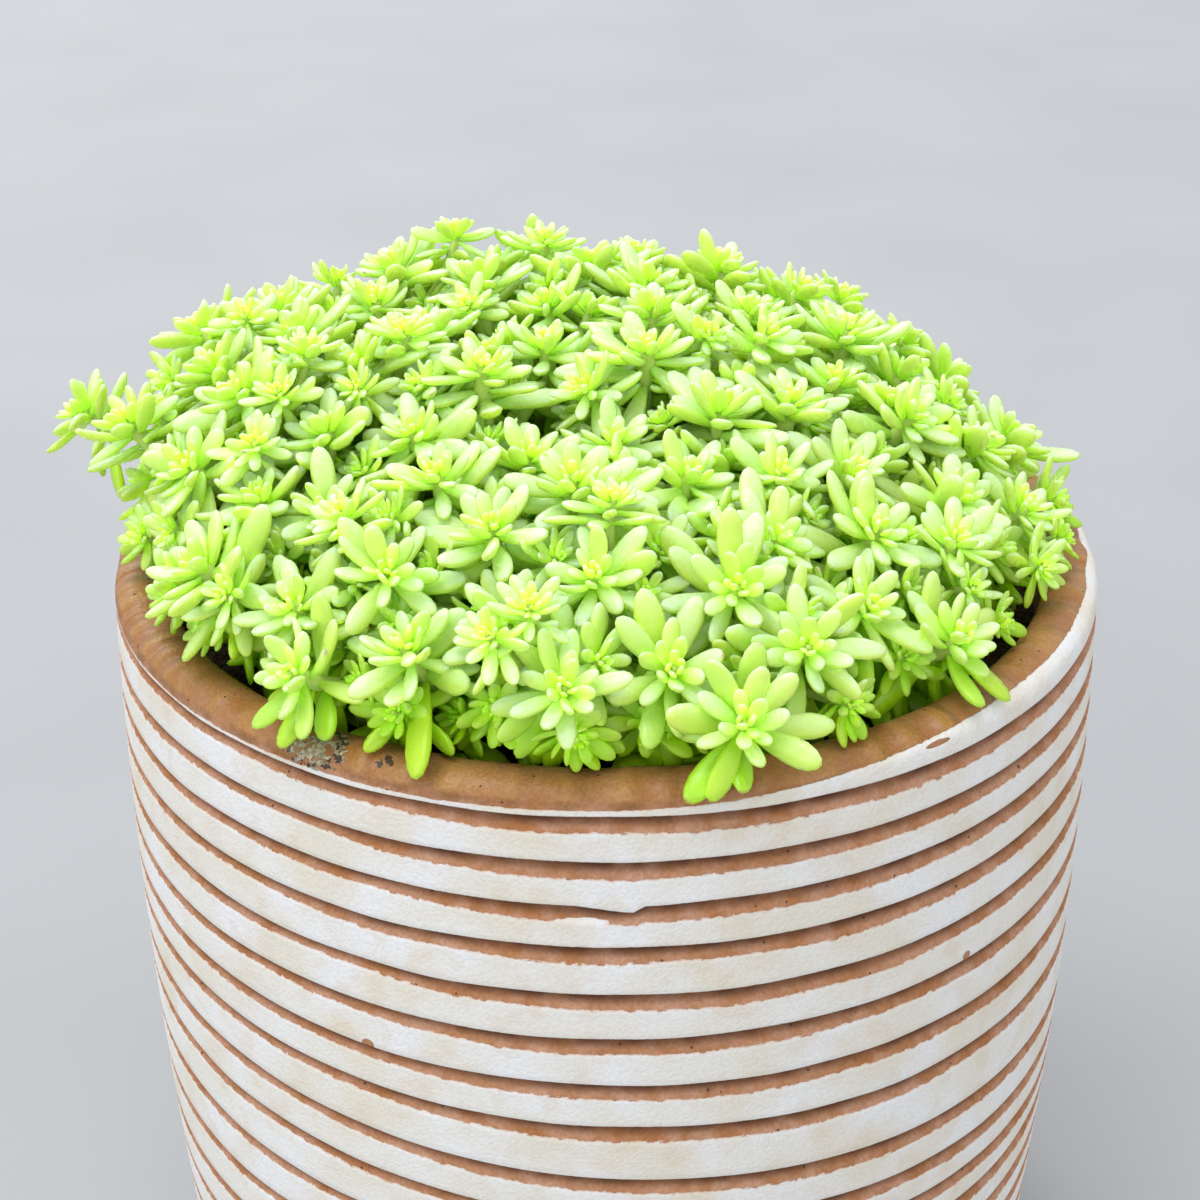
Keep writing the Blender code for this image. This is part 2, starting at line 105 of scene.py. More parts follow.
# Down a groove: the share of its width from its upper edge, and the share of its depth there.
GROOVE_SECTION = (
    (-0.07, 0), (0, 0.07), (0.03, 0.45), (0.08, 0.86), (0.17, 1), (0.34, 0.94), (0.54, 0.7),
    (0.74, 0.4), (0.91, 0.13), (1.04, 0),
)
BAND_ROWS = (0.15, 0.45, 0.8)
EDGE_WAVER = 0.16 * MM
WIDTH_WAVER = 0.2 * MM
DENT_DEPTH = 1 * MM

# On the right the slip runs on, up the outside of the rim.
STRIP_CLIMB = 2.4 * MM
STRIP_TURNS = (math.radians(36), math.radians(90))
STRIP_WAVER = 0.12 * MM

# In the third groove the cutter slipped: the white above it sags at the front, and ends in a small step.
SAG_GROOVE = 2
SAG_TURN = math.radians(-87)
SAG_DEPTH = 0.7 * MM
SAG_REACH = 7 * MM
SAG_STEP = 0.6 * MM
SAG_NARROWING = 0.75

POT_SIDES = 300
turns = np.arange(POT_SIDES) * math.tau / POT_SIDES
hand = random.Random(11)

# Waves round the pot, from the fewest to the most, that a wavering edge is made of.
EDGE_WAVES = (3, 34)
WIDTH_WAVES = (4, 30)
STRIP_WAVES = (5, 40)
FINGER_WAVES = (26, 56)
THROWING_WAVES = (3, 9)


def pot_radius(z):
    """The pot's outside radius at a height: widest at the belly, drawn in towards the foot."""
    return BELLY_RADIUS - (BELLY_RADIUS - FOOT_RADIUS) * ((z - BELLY_HEIGHT) / BELLY_HEIGHT) ** 2


def inside_radius(z):
    """The radius of the straight inside wall at a height."""
    low = pot_radius(FLOOR_THICKNESS) - WALL
    high = pot_radius(POT_HEIGHT) - WALL
    return low + (high - low) * (z - FLOOR_THICKNESS) / (POT_HEIGHT - FLOOR_THICKNESS)


def eased(low, high, value):
    """From 0 at low to 1 at high, with soft ends."""
    share = np.clip((value - low) / (high - low), 0, 1)
    return share * share * (3 - 2 * share)


def waver(fewest, most):
    """An unsteady hand's path round the pot, from -1 to 1: waves of several lengths."""
    path = np.zeros(POT_SIDES)
    for waves in range(fewest, most):
        path += hand.gauss(0, 1) / waves * np.sin(waves * turns + hand.uniform(0, math.tau))
    return path / np.abs(path).max()


def groove_edge(count):
    """The height of a groove's upper edge, all the way round."""
    even = GROOVE_TOP - count * GROOVE_PITCH
    height = even + (GROOVE_RISES[count] if count < len(GROOVE_RISES) else 0)
    slant = SLANT / (1 + ((height - SLANT_HEIGHT) / SLANT_SPREAD) ** 2)
    return height - slant * np.cos(turns) + EDGE_WAVER * waver(*EDGE_WAVES)


def sag():
    """How far the white sags where the cutter slipped, all the way round."""
    past = ((turns - SAG_TURN + math.pi) % math.tau - math.pi) * BELLY_RADIUS
    return SAG_DEPTH * eased(-SAG_REACH, 0, past) * (1 - eased(0, SAG_STEP, past))


def groove_width():
    """One groove's width, all the way round."""
    leftward = eased(0, 0.6, -np.cos(turns))
    even = GROOVE_WIDTH + (GROOVE_WIDTH_LEFT - GROOVE_WIDTH) * leftward
    return even + WIDTH_WAVER * waver(*WIDTH_WAVES)


class TurnedRows:
    """Rows of points round an axis, each with what the material needs to know there."""

    def __init__(self, *facts):
        self.rows = []
        self.facts = facts

    def add(self, radius, height, *values):
        """Adds a row below the last, from one value all round or one for each side."""
        row = [np.broadcast_to(value, turns.shape) for value in (radius, height, *values)]
        self.rows.append(row)

    def mesh(self, name, low_middle, high_middle):
        """A closed mesh from the rows, with a point on the axis below the last and above the first."""
        table = np.array(self.rows)
        radius, height = table[:, 0], table[:, 1]
        points = np.stack([radius * np.cos(turns), radius * np.sin(turns), height], axis=-1)
        points = points.reshape(-1, 3)
        first, last = len(points), len(points) + 1
        points = np.vstack([points, (0, 0, high_middle), (0, 0, low_middle)])
        side = np.arange(POT_SIDES)
        after = (side + 1) % POT_SIDES
        faces = []
        for row in range(len(table) - 1):
            high, low = row * POT_SIDES, (row + 1) * POT_SIDES
            faces += np.stack([high + side, low + side, low + after, high + after], axis=-1).tolist()
        faces += np.stack([np.full_like(side, first), side, after], axis=-1).tolist()
        end = (len(table) - 1) * POT_SIDES
        faces += np.stack([np.full_like(side, last), end + after, end + side], axis=-1).tolist()
        mesh = bpy.data.meshes.new(name)
        mesh.from_pydata(points.tolist(), [], faces)
        for index, fact in enumerate(self.facts):
            rows = table[:, 2 + index]
            values = np.append(rows.ravel(), (rows[0, 0], rows[-1, 0])).astype(np.float32)
            mesh.attributes.new(fact, "FLOAT", "POINT").data.foreach_set("value", values)
        return mesh


def add_rim(wall, strip):
    """The rolled rim, dented by the fingers that rounded it, from the inside over to the outside."""
    dents = DENT_DEPTH * (0.4 + 0.4 * waver(*FINGER_WAVES) + 0.15 * waver(*THROWING_WAVES))
    outside = pot_radius(POT_HEIGHT - RIM_ROLL)
    angles = np.linspace(0, math.pi, RIM_ROWS)
    radii = [outside - WALL * (0.5 + 0.5 * math.cos(angle)) for angle in angles]
    heights = [POT_HEIGHT - RIM_ROLL * (1 - math.sin(angle) ** 0.8) for angle in angles]
    steps = np.hypot(np.diff(radii), np.diff(heights))
    from_strip = np.append(np.cumsum(steps[::-1])[::-1], 0)
    for angle, radius, height, reach in zip(angles, radii, heights, from_strip):
        outward = max(0, -math.cos(angle)) * math.sin(angle)
        pressed = height - 0.7 * dents * math.sin(angle)
        wall.add(radius - dents * outward, pressed, (strip - reach) / MM, 0.4, 0)


def add_groove(wall, edge, width):
    """One groove: a sharp step in under its upper edge, and a long slope back out."""
    for down, deep in GROOVE_SECTION:
        height = edge - down * width
        radius = pot_radius(height) - GROOVE_DEPTH * deep
        bare = np.minimum(down, 1 - down) * width
        wall.add(radius, height, -bare / MM, down > 0.5, deep)


def add_band(wall, high, low):
    """The slip between the lower edge of one groove and the upper edge of the next."""
    for down in BAND_ROWS:
        height = high + (low - high) * down
        covered = np.minimum(down, 1 - down) * (high - low)
        wall.add(pot_radius(height), height, covered / MM, down < 0.5, 0)


def pot_mesh():
    """The pot from the middle of its floor, over the rim and down the outside, to the base."""
    wall = TurnedRows("slip", "ragged", "groove")
    bare = -5
    for height in (FLOOR_THICKNESS, FLOOR_THICKNESS + 0.4 * MM, POT_HEIGHT / 2, POT_HEIGHT - 2 * RIM_ROLL):
        corner = 1.5 * MM if height == FLOOR_THICKNESS else 0
        wall.add(inside_radius(height) - corner, height, bare, 0, 0)
    from_right = np.abs((turns + math.pi) % math.tau - math.pi)
    strip = STRIP_CLIMB * (1 - eased(*STRIP_TURNS, from_right)) + STRIP_WAVER * waver(*STRIP_WAVES)
    add_rim(wall, strip)
    edges = [groove_edge(count) for count in range(GROOVE_COUNT)]
    widths = [groove_width() for _ in range(GROOVE_COUNT)]
    edges[SAG_GROOVE] -= sag()
    widths[SAG_GROOVE] -= SAG_NARROWING * sag()
    for down in (0.35, 0.7):
        height = POT_HEIGHT - RIM_ROLL + (edges[0] - POT_HEIGHT + RIM_ROLL) * down
        covered = np.minimum(strip + POT_HEIGHT - RIM_ROLL - height, height - edges[0])
        wall.add(pot_radius(height), height, covered / MM, 0.2, 0)
    for count in range(GROOVE_COUNT):
        add_groove(wall, edges[count], widths[count])
        below = edges[count + 1] if count + 1 < GROOVE_COUNT else FOOT_BEVEL
        add_band(wall, edges[count] - widths[count], below)
    wall.add(pot_radius(FOOT_BEVEL), FOOT_BEVEL, -0.1, 1, 0)
    wall.add(pot_radius(0) - 0.3 * FOOT_BEVEL, 0.3 * FOOT_BEVEL, -1, 1, 0)
    wall.add(FOOT_RADIUS - FOOT_BEVEL, 0, bare, 0, 0)
    return wall.mesh("pot", low_middle=0, high_middle=FLOOR_THICKNESS)


def shown(name, mesh, replaced):
    """A piece of the object in the scene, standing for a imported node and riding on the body."""
    mesh.shade_smooth()
    piece = bpy.data.objects.new(name, mesh)
    bpy.context.scene.collection.objects.link(piece)
    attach(piece, "root")
    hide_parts(replaced)
    return piece


def with_drain_holes(solid):
    """The pot's mesh with its three drain holes bored through the floor."""
    bm = bmesh.new()
    size = {"radius1": DRAIN_RADIUS, "radius2": DRAIN_RADIUS, "depth": 4 * FLOOR_THICKNESS}
    bmesh.ops.create_cone(bm, cap_ends=True, segments=32, **size)
    bore = bpy.data.meshes.new("drain bore")
    bm.to_mesh(bore)
    bm.free()
    borer = bpy.data.collections.new("drain borers")
    bpy.context.scene.collection.children.link(borer)
    for count in range(DRAIN_COUNT):
        cutter = bpy.data.objects.new("drain bore", bore)
        cutter.location = Quaternion(UP, math.tau * count / DRAIN_COUNT) @ Vector((0, DRAIN_CIRCLE, 0))
        borer.objects.link(cutter)
    blank = bpy.data.objects.new("pot blank", solid)
    bpy.context.scene.collection.objects.link(blank)
    cut = blank.modifiers.new("drains", "BOOLEAN")
    cut.operation = "DIFFERENCE"
    cut.solver = "MANIFOLD"
    cut.operand_type = "COLLECTION"
    cut.collection = borer
    bored = bpy.data.meshes.new_from_object(blank.evaluated_get(bpy.context.evaluated_depsgraph_get()))
    for used in (blank, *borer.objects):
        bpy.data.objects.remove(used)
    bpy.data.collections.remove(borer)
    bored.materials.clear()
    return bored


def linear(red, green, blue):
    """A colour from its 0 to 255 values on a screen."""
    shares = (red / 255, green / 255, blue / 255)
    return (*[s / 12.92 if s <= 0.04045 else ((s + 0.055) / 1.055) ** 2.4 for s in shares], 1)


def put(tree, kind, inputs=(), **settings):
    """Adds a shader node, with its settings, and its inputs by value or by link."""
    node = tree.nodes.new("ShaderNode" + kind)
    for name, value in settings.items():
        setattr(node, name, value)
    for socket, value in dict(inputs).items():
        if isinstance(value, bpy.types.NodeSocket):
            tree.links.new(value, node.inputs[socket])
        else:
            node.inputs[socket].default_value = value
    return node


def calc(tree, operation, first, second=0.0):
    """One sum on two values."""
    return put(tree, "Math", {0: first, 1: second}, operation=operation).outputs[0]


def times(tree, first, second):
    """One value times another."""
    return calc(tree, "MULTIPLY", first, second)


def ramped(tree, value, low, high, to_low=0.0, to_high=1.0):
    """A value eased from one range to another, and held at both ends."""
    inputs = {0: value, 1: low, 2: high, 3: to_low, 4: to_high}
    return put(tree, "MapRange", inputs, interpolation_type="SMOOTHSTEP").outputs[0]


def blended(tree, share, first, second, strength=1):
    """One colour laid over another, where a share says so, and no stronger than a strength."""
    share = share if strength == 1 else times(tree, share, strength)
    return put(tree, "Mix", {0: share, 6: first, 7: second}, data_type="RGBA").outputs[2]


def parted(tree, kind, value):
    """The parts of a colour or a place."""
    return put(tree, kind, {0: value}).outputs


def on_places(tree, operation, first, second, result=0):
    """One sum on two places."""
    return put(tree, "VectorMath", {0: first, 1: second}, operation=operation).outputs[result]


def read(tree, fact):
    """What a mesh knows of itself at each point."""
    return put(tree, "Attribute", attribute_name=fact).outputs["Fac"]


def new_group(name, inputs, outputs):
    """An empty shader group with named number sockets, and the nodes at its two ends."""
    tree = bpy.data.node_groups.new(name, "ShaderNodeTree")
    for socket, value in inputs.items():
        made = tree.interface.new_socket(socket, in_out="INPUT", socket_type="NodeSocketFloat")
        made.default_value = value
    for socket in outputs:
        tree.interface.new_socket(socket, in_out="OUTPUT", socket_type="NodeSocketFloat")
    return tree, tree.nodes.new("NodeGroupInput"), tree.nodes.new("NodeGroupOutput")


def in_millimetres(tree):
    """The place on the piece in millimetres."""
    place = put(tree, "TexCoord").outputs["Object"]
    return put(tree, "VectorMath", {0: place, "Scale": 1 / MM}, operation="SCALE").outputs[0]


SEED_STEP = 173


def mottle_group():
    """Soft uneven patches of about a given size in millimetres, from 0 to 1."""
    tree, given, result = new_group("mottle", {"Size": 3, "Seed": 0, "Contrast": 1}, ["Patches"])
    scale = calc(tree, "DIVIDE", 1, given.outputs["Size"])
    place = on_places(tree, "ADD", in_millimetres(tree), times(tree, given.outputs["Seed"], SEED_STEP))
    noise = put(tree, "TexNoise", {"Vector": place, "Scale": scale, "Detail": 1}).outputs[0]
    spread = times(tree, calc(tree, "SUBTRACT", noise, 0.5), given.outputs["Contrast"])
    patches = put(tree, "Math", {0: times(tree, spread, 2), 1: 0.5}, operation="ADD", use_clamp=True)
    tree.links.new(patches.outputs[0], result.inputs["Patches"])
    return tree


def speck_group():
    """Scattered round specks: how many of the cells hold one, its size, and the cell, in millimetres."""
    tree, given, result = new_group("specks", {"Cell": 1, "Share": 0.1, "Radius": 0.2}, ["Specks"])
    scale = calc(tree, "DIVIDE", 1, given.outputs["Cell"])
    cells = put(tree, "TexVoronoi", {"Vector": in_millimetres(tree), "Scale": scale})
    luck = parted(tree, "SeparateColor", cells.outputs["Color"])[0]
    chosen = calc(tree, "LESS_THAN", luck, given.outputs["Share"])
    away = times(tree, cells.outputs["Distance"], given.outputs["Cell"])
    near = ramped(tree, calc(tree, "DIVIDE", away, given.outputs["Radius"]), 0.6, 1.1, 1, 0)
    tree.links.new(times(tree, chosen, near), result.inputs["Specks"])
    return tree


mottle = mottle_group()
specks = speck_group()


def mottled(tree, size, seed=0.0, contrast=1.0):
    """Patches from the shared mottle group."""
    inputs = {"Size": size, "Seed": seed, "Contrast": contrast}
    return put(tree, "Group", inputs, node_tree=mottle).outputs[0]


def specked(tree, cell, share, radius):
    """Specks from the shared speck group."""
    inputs = {"Cell": cell, "Share": share, "Radius": radius}
    return put(tree, "Group", inputs, node_tree=specks).outputs[0]


def nearness(tree, spot, reach):
    """How near a place is to a spot: 1 there, and 0 past its reach along X, Y and Z, in millimetres."""
    off = on_places(tree, "SUBTRACT", in_millimetres(tree), spot)
    away = on_places(tree, "LENGTH", on_places(tree, "DIVIDE", off, reach), (0, 0, 0), "Value")
    return ramped(tree, away, 0.2, 1, 1, 0)


def new_material(name):
    """A material with its shader node, ready to be given its looks."""
    made = bpy.data.materials.new(name)
    made.use_nodes = True
    return made, made.node_tree, made.node_tree.nodes["Principled BSDF"]


def finish_shader(tree, shader, colour, roughness, constants):
    """Feeds a shader its colour and roughness, and sets its constants."""
    tree.links.new(colour, shader.inputs["Base Color"])
    tree.links.new(roughness, shader.inputs["Roughness"])
    for socket, value in constants.items():
        shader.inputs[socket].default_value = value


def add_relief(tree, shader, height, depth):
    """Gives a shader the relief of a height, which is 1 at a depth in millimetres."""
    relief = put(tree, "Bump", {"Height": height, "Distance": depth * MM, "Strength": 1})
    tree.links.new(relief.outputs[0], shader.inputs["Normal"])


CLAY = linear(175, 125, 90)
CLAY_ORANGE = linear(168, 110, 62)
CLAY_PINK = linear(204, 160, 136)
# Darker clay, for the grain and the slip's specks, and for painted shade deep in the grooves.
CLAY_DARK = linear(82, 42, 14)
RIM_BROWN = linear(150, 97, 42)
# A painted highlight, laid on the ridges of the finger dents on the rim.
RIM_PAINTED_HIGHLIGHT = linear(186, 140, 74)
SLIP_WHITE = linear(227, 229, 232)
SLIP_WARM = linear(221, 217, 206)
STAIN = linear(206, 178, 140)
SOOT = linear(50, 44, 40)
LICHEN = linear(190, 184, 160)
LICHEN_DARK = linear(128, 126, 104)

# Marks at one place each, and how far they reach, in millimetres: a patch of lichen on the rim with some
# black bits beside it, a bare streak in the strip, a smear of slip in a groove, and two chipped edges.
LICHEN_SPOT, LICHEN_REACH = (-28.2, -45.4, 99.0), (5.6, 5.6, 2.5)
BITS_SPOT, BITS_REACH = (-21.2, -48.5, 99.2), (1.6, 1.6, 0.9)
STREAK_SPOT, STREAK_REACH = (32.0, -44.1, 98.35), (2.8, 2.6, 0.4)
SMEAR_SPOT, SMEAR_REACH = (-2.5, -54.7, 85.3), (3.4, 3, 0.5)
CHIP_SPOTS, CHIP_REACH = ((-24.3, -49.4, 66.9), (36.9, -40.9, 71.2)), (1, 1, 0.8)

# The slip's edge is torn: how fine, how far in millimetres, and how far where a flake is gone.
TEAR_SCALE, TEAR_REACH = 1.1, 0.62
FLAKE_SCALE, FLAKE_REACH = 1.4, 0.14
EDGE_BLUR = 0.04

# Pits in the clay and specks on the slip: the cell and the share of cells that hold one, and its radius.
FINE_PITS, COARSE_PITS = (1, 0.13, 0.14), (3.2, 0.2, 0.27)
SLIP_SPECKS = (2.4, 0.14, 0.1)

# The browner rim fades in between these heights. Its dents come from noise on a circle of radius 1.
RIM_FADE = (97.4, 98.6)
DENT_SCALE = 20
DENT_RELIEF, DENT_RELIEF_IN_SLIP = 0.65, 0.12
SLIP_RELIEF, GRAIN_RELIEF, PIT_RELIEF, CRUST_RELIEF = 0.08, 0.03, 0.14, 0.2
CLAY_ROUGHNESS, SLIP_ROUGHNESS, RIM_POLISH = 0.72, 0.82, 0.32


def slip_edge(tree):
    """How far a place is inside the torn edge of the slip, in millimetres."""
    place = in_millimetres(tree)
    noise = {"Vector": place, "Scale": TEAR_SCALE, "Detail": 4, "Roughness": 0.6}
    fine = calc(tree, "SUBTRACT", put(tree, "TexNoise", noise).outputs[0], 0.5)
    flakes = put(tree, "TexVoronoi", {"Vector": place, "Scale": FLAKE_SCALE}).outputs["Color"]
    flake = ramped(tree, parted(tree, "SeparateColor", flakes)[0], 0.84, 0.9)
    torn = calc(tree, "SUBTRACT", times(tree, fine, TEAR_REACH), times(tree, flake, FLAKE_REACH))
    tearing = ramped(tree, read(tree, "ragged"), 0, 1, 0.3, 1)
    edge = calc(tree, "ADD", read(tree, "slip"), times(tree, torn, tearing))
    edge = calc(tree, "ADD", edge, nearness(tree, SMEAR_SPOT, SMEAR_REACH))
    edge = calc(tree, "SUBTRACT", edge, times(tree, nearness(tree, STREAK_SPOT, STREAK_REACH), 1.5))
    for spot in CHIP_SPOTS:
        edge = calc(tree, "SUBTRACT", edge, nearness(tree, spot, CHIP_REACH))
    return edge


def rim_dents(tree, rim):
    """The finger dents, as flutes across the rim; their ridges also carry a painted highlight."""
    outward = on_places(tree, "MULTIPLY", in_millimetres(tree), (1, 1, 0))
    outward = on_places(tree, "NORMALIZE", outward, (0, 0, 0))
    dents = put(tree, "TexNoise", {"Vector": outward, "Scale": DENT_SCALE, "Detail": 0}).outputs[0]
    return times(tree, rim, ramped(tree, dents, 0.25, 0.75))


def clay_and_slip():
    """Fired clay, and white slip where the pot's mesh says that it is covered, with torn edges."""
    made, tree, shader = new_material("clay_and_slip")
    edge = slip_edge(tree)
    slip = ramped(tree, edge, -EDGE_BLUR, EDGE_BLUR)
    broad, middling = mottled(tree, 8, 1, 1.6), mottled(tree, 3.2, 6, 1.4)
    grain = mottled(tree, 0.4, 4, 1.6)

    colour = blended(tree, broad, CLAY, CLAY_ORANGE)
    colour = blended(tree, mottled(tree, 2.2, 2, 1.8), colour, CLAY_PINK, 0.5)
    # Darker clay deep in each groove, strongest just under the white band's lip: partly dirt settled there,
    # partly painted shade.
    dust_and_shade = times(tree, ramped(tree, read(tree, "groove"), 0.3, 1), ramped(tree, middling, 0, 1, 0.65, 1))
    colour = blended(tree, dust_and_shade, colour, CLAY_DARK)
    rim = ramped(tree, parted(tree, "SeparateXYZ", in_millimetres(tree))[2], *RIM_FADE)
    dents = rim_dents(tree, rim)
    colour = blended(tree, rim, colour, RIM_BROWN, 0.65)
    # Painted highlight on the ridges of the finger dents.
    colour = blended(tree, dents, colour, RIM_PAINTED_HIGHLIGHT, 0.5)
    colour = blended(tree, ramped(tree, grain, 0, 1, 0.2, 0), colour, CLAY_DARK)
    pits = calc(tree, "MAXIMUM", specked(tree, *FINE_PITS), specked(tree, *COARSE_PITS))
    pits = times(tree, pits, calc(tree, "SUBTRACT", 1, slip))
    colour = blended(tree, pits, colour, SOOT, 0.85)

    covered = blended(tree, broad, SLIP_WHITE, SLIP_WARM)
    covered = blended(tree, ramped(tree, middling, 0.6, 1), covered, STAIN, 0.16)
    covered = blended(tree, grain, covered, STAIN, 0.16)
    covered = blended(tree, specked(tree, *SLIP_SPECKS), covered, CLAY_DARK, 0.45)
    thin = times(tree, ramped(tree, edge, 0.02, 0.24, 0.6, 0), read(tree, "ragged"))
    covered = blended(tree, thin, covered, CLAY_PINK)
    colour = blended(tree, slip, colour, covered)

    near_spot = nearness(tree, LICHEN_SPOT, LICHEN_REACH)
    crust = ramped(tree, times(tree, near_spot, mottled(tree, 0.7, 7, 2)), 0.26, 0.4)
    crusty = blended(tree, grain, LICHEN, LICHEN_DARK)
    colour = blended(tree, crust, colour, crusty, 0.85)
    round_it = times(tree, near_spot, ramped(tree, near_spot, 0.6, 1, 1, 0.2))
    black = calc(tree, "MAXIMUM", round_it, nearness(tree, BITS_SPOT, BITS_REACH))
    sooty = ramped(tree, times(tree, black, mottled(tree, 0.6, 8, 2.6)), 0.36, 0.44)
    colour = blended(tree, sooty, colour, SOOT, 0.9)

    relief = calc(tree, "ADD", times(tree, slip, SLIP_RELIEF), times(tree, grain, GRAIN_RELIEF))
    relief = calc(tree, "SUBTRACT", relief, times(tree, pits, PIT_RELIEF))
    relief = calc(tree, "ADD", relief, times(tree, crust, CRUST_RELIEF))
    dented = times(tree, dents, ramped(tree, slip, 0, 1, DENT_RELIEF, DENT_RELIEF_IN_SLIP))
    add_relief(tree, shader, calc(tree, "ADD", relief, dented), 1)
    rough = ramped(tree, slip, 0, 1, CLAY_ROUGHNESS, SLIP_ROUGHNESS)
    rough = calc(tree, "SUBTRACT", rough, times(tree, rim, RIM_POLISH))
    finish_shader(tree, shader, colour, rough, {"Specular IOR Level": 0.4})
    return made


pot = shown("clay_pot", with_drain_holes(pot_mesh()), "pot")
pot.data.materials.append(clay_and_slip())


# The potting soil
# A block of damp peat soil, crumbly on top, that fills the pot to just under its rim. It only shows in the
# dark gaps between the lowest leaves.

SOIL_TOP = 93 * MM
SOIL_CROWN = 1 * MM
SEAT_GAP = 0.3 * MM
SOIL_ROWS = 44
CRUMB_RISE = 0.9 * MM


def soil_height(radius):
    """The soil's surface, a little higher in the middle than at the wall."""
    return SOIL_TOP + SOIL_CROWN * (1 - (radius / inside_radius(SOIL_TOP)) ** 2)


def soil_mesh():
    """The block with its crumbs: bumps of several sizes, which die out at the wall."""
    block = TurnedRows()
    edge = inside_radius(SOIL_TOP) - SEAT_GAP
    for row in range(1, SOIL_ROWS):
        radius = edge * row / SOIL_ROWS
        fade = 1 - (row / SOIL_ROWS) ** 8
        crumbs = 0.6 * waver(2 + row // 3, 6 + row) + 0.4 * waver(3 + row, 8 + 2 * row)
        block.add(radius, soil_height(radius) + CRUMB_RISE * (crumbs - 0.3) * fade)
    block.add(edge, soil_height(edge) - 0.2 * MM)
    bottom = FLOOR_THICKNESS + SEAT_GAP
    block.add(inside_radius(bottom) - SEAT_GAP, bottom)
    return block.mesh("soil", low_middle=bottom, high_middle=soil_height(0))


PEAT = linear(38, 28, 20)
PEAT_BROWN = linear(72, 54, 38)
PEAT_FIBRE = linear(96, 74, 52)
GRIT = linear(150, 132, 108)
GRIT_SPECKS = (2.2, 0.12, 0.3)
PEAT_RELIEF = 0.6


def peat():
    """Damp dark peat, with paler fibres and grit."""
    made, tree, shader = new_material("peat")
    colour = blended(tree, mottled(tree, 1.6, 1, 2), PEAT, PEAT_BROWN)
    colour = blended(tree, mottled(tree, 0.5, 2, 2.4), colour, PEAT_FIBRE, 0.5)
    colour = blended(tree, specked(tree, *GRIT_SPECKS), colour, GRIT)
    crumbs = calc(tree, "ADD", mottled(tree, 0.9, 3, 2), times(tree, mottled(tree, 0.3, 4, 2), 0.4))
    add_relief(tree, shader, crumbs, PEAT_RELIEF)
    rough = ramped(tree, mottled(tree, 2, 5, 2), 0, 1, 0.8, 0.98)
    finish_shader(tree, shader, colour, rough, {"Specular IOR Level": 0.25})
    return made


soil = shown("potting_soil", soil_mesh(), "soil")
soil.data.materials.append(peat())


# The leafy stems
# Fifty-eight fleshy stems, each grown as one piece from its foot in the soil to its one or two rosettes,
# which small side ones join later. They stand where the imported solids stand: spread round a spiral on a
# low dome, with one stem that strays over the rim at the left.

HEAD_COUNT = 80
STEM_COUNT = 57
MAT_WIDTH = 95 * MM
MAT_DEPTH = 103 * MM
MAT_MIDDLE = Vector((-1, -3, 0)) * MM
MAT_TOP = 119 * MM
MAT_EDGE_DROP = 14.5 * MM
MAT_RISE_BACK = 7 * MM
MAT_RISE_LEFT = 2 * MM
MAT_BULGE = 6 * MM
MAT_BULGE_TURN = math.radians(152)
MAT_SHOULDER = 9 * MM
MAT_SHOULDER_TURN = math.radians(166)
EDGE_CROWDING = 0.44
EDGE_LEAN = math.radians(48)
LEAN_JITTER = math.radians(9)
PLACE_JITTER = 1.2 * MM
HEIGHT_JITTER = 2 * MM
ROSETTE_SIZES = (0.86, 1.14)
FOOT_SHARE = 0.84
GOLDEN_ANGLE = math.radians(137.508)
SEED = 27
STRAY_TIP = Vector((-61, 20, 105.5)) * MM
STRAY_AXIS = Vector((-0.8, 0.1, 0.6)).normalized()
STRAY_FOOT = Vector((-40, 14, 0)) * MM

STEM_SIDES = 5
STEM_RADIUS = 0.85 * MM
FORK_THINNING = 0.7
HOLE_DEPTH = 6 * MM
COLLAR = 1 * MM
BUD_RADIUS = 1.2 * MM
BUD_BELT = 1.5 * MM
BUD_TIP = 1.1 * MM
BOWS = [(across * MM, along * MM) for across in (0, 2, -2, 3.5, -3.5) for along in (0, 2, -2)]
RAISE_STEP = 0.7 * MM
RAISE_TRIES = 12
CLEARANCE = 0.3 * MM


@dataclass
class Shoot:
    """A stretch of stem that ends in one rosette."""

    stem: int
    path: list
    axis: Vector
    spin: float
    size: float
    thinning: float = 1.0

    @property
    def turn(self):
        return UP.rotation_difference(self.axis)


def in_pot_or_soil(point, margin):
    """Whether a point is in the clay or the soil, or within a margin of them."""
    reach = math.hypot(point.x, point.y)
    if reach < pot_radius(POT_HEIGHT) - WALL - margin:
        return point.z < soil_height(reach) + margin
    return reach < pot_radius(point.z) + margin and point.z < POT_HEIGHT + margin


def line_hits_pot(stops, margin):
    """Whether any of the spots along a line comes within a margin of the clay or the soil."""
    for start, end in zip(stops, stops[1:]):
        if any(in_pot_or_soil(start.lerp(end, share), margin) for share in (0.25, 0.5, 0.75, 1)):
            return True
    return False


def head_place(count, draw):
    """A rosette's place in plan, as a share of the mat's size: evenly spread round a spiral."""
    reach = ((count + 0.5) / HEAD_COUNT) ** EDGE_CROWDING
    angle = count * GOLDEN_ANGLE
    x = reach * math.cos(angle) + draw.uniform(-1, 1) * PLACE_JITTER / (MAT_WIDTH / 2)
    y = reach * math.sin(angle) + draw.uniform(-1, 1) * PLACE_JITTER / (MAT_DEPTH / 2)
    return x, y


def dome_height(x, y):
    """The height of the dome that the rosettes make, where x and y are shares of the mat's size."""
    share = min(1, math.hypot(x, y))
    tilt = (MAT_RISE_BACK * y - MAT_RISE_LEFT * x) * (1 - share**4)
    return MAT_TOP + tilt - MAT_EDGE_DROP * share**4


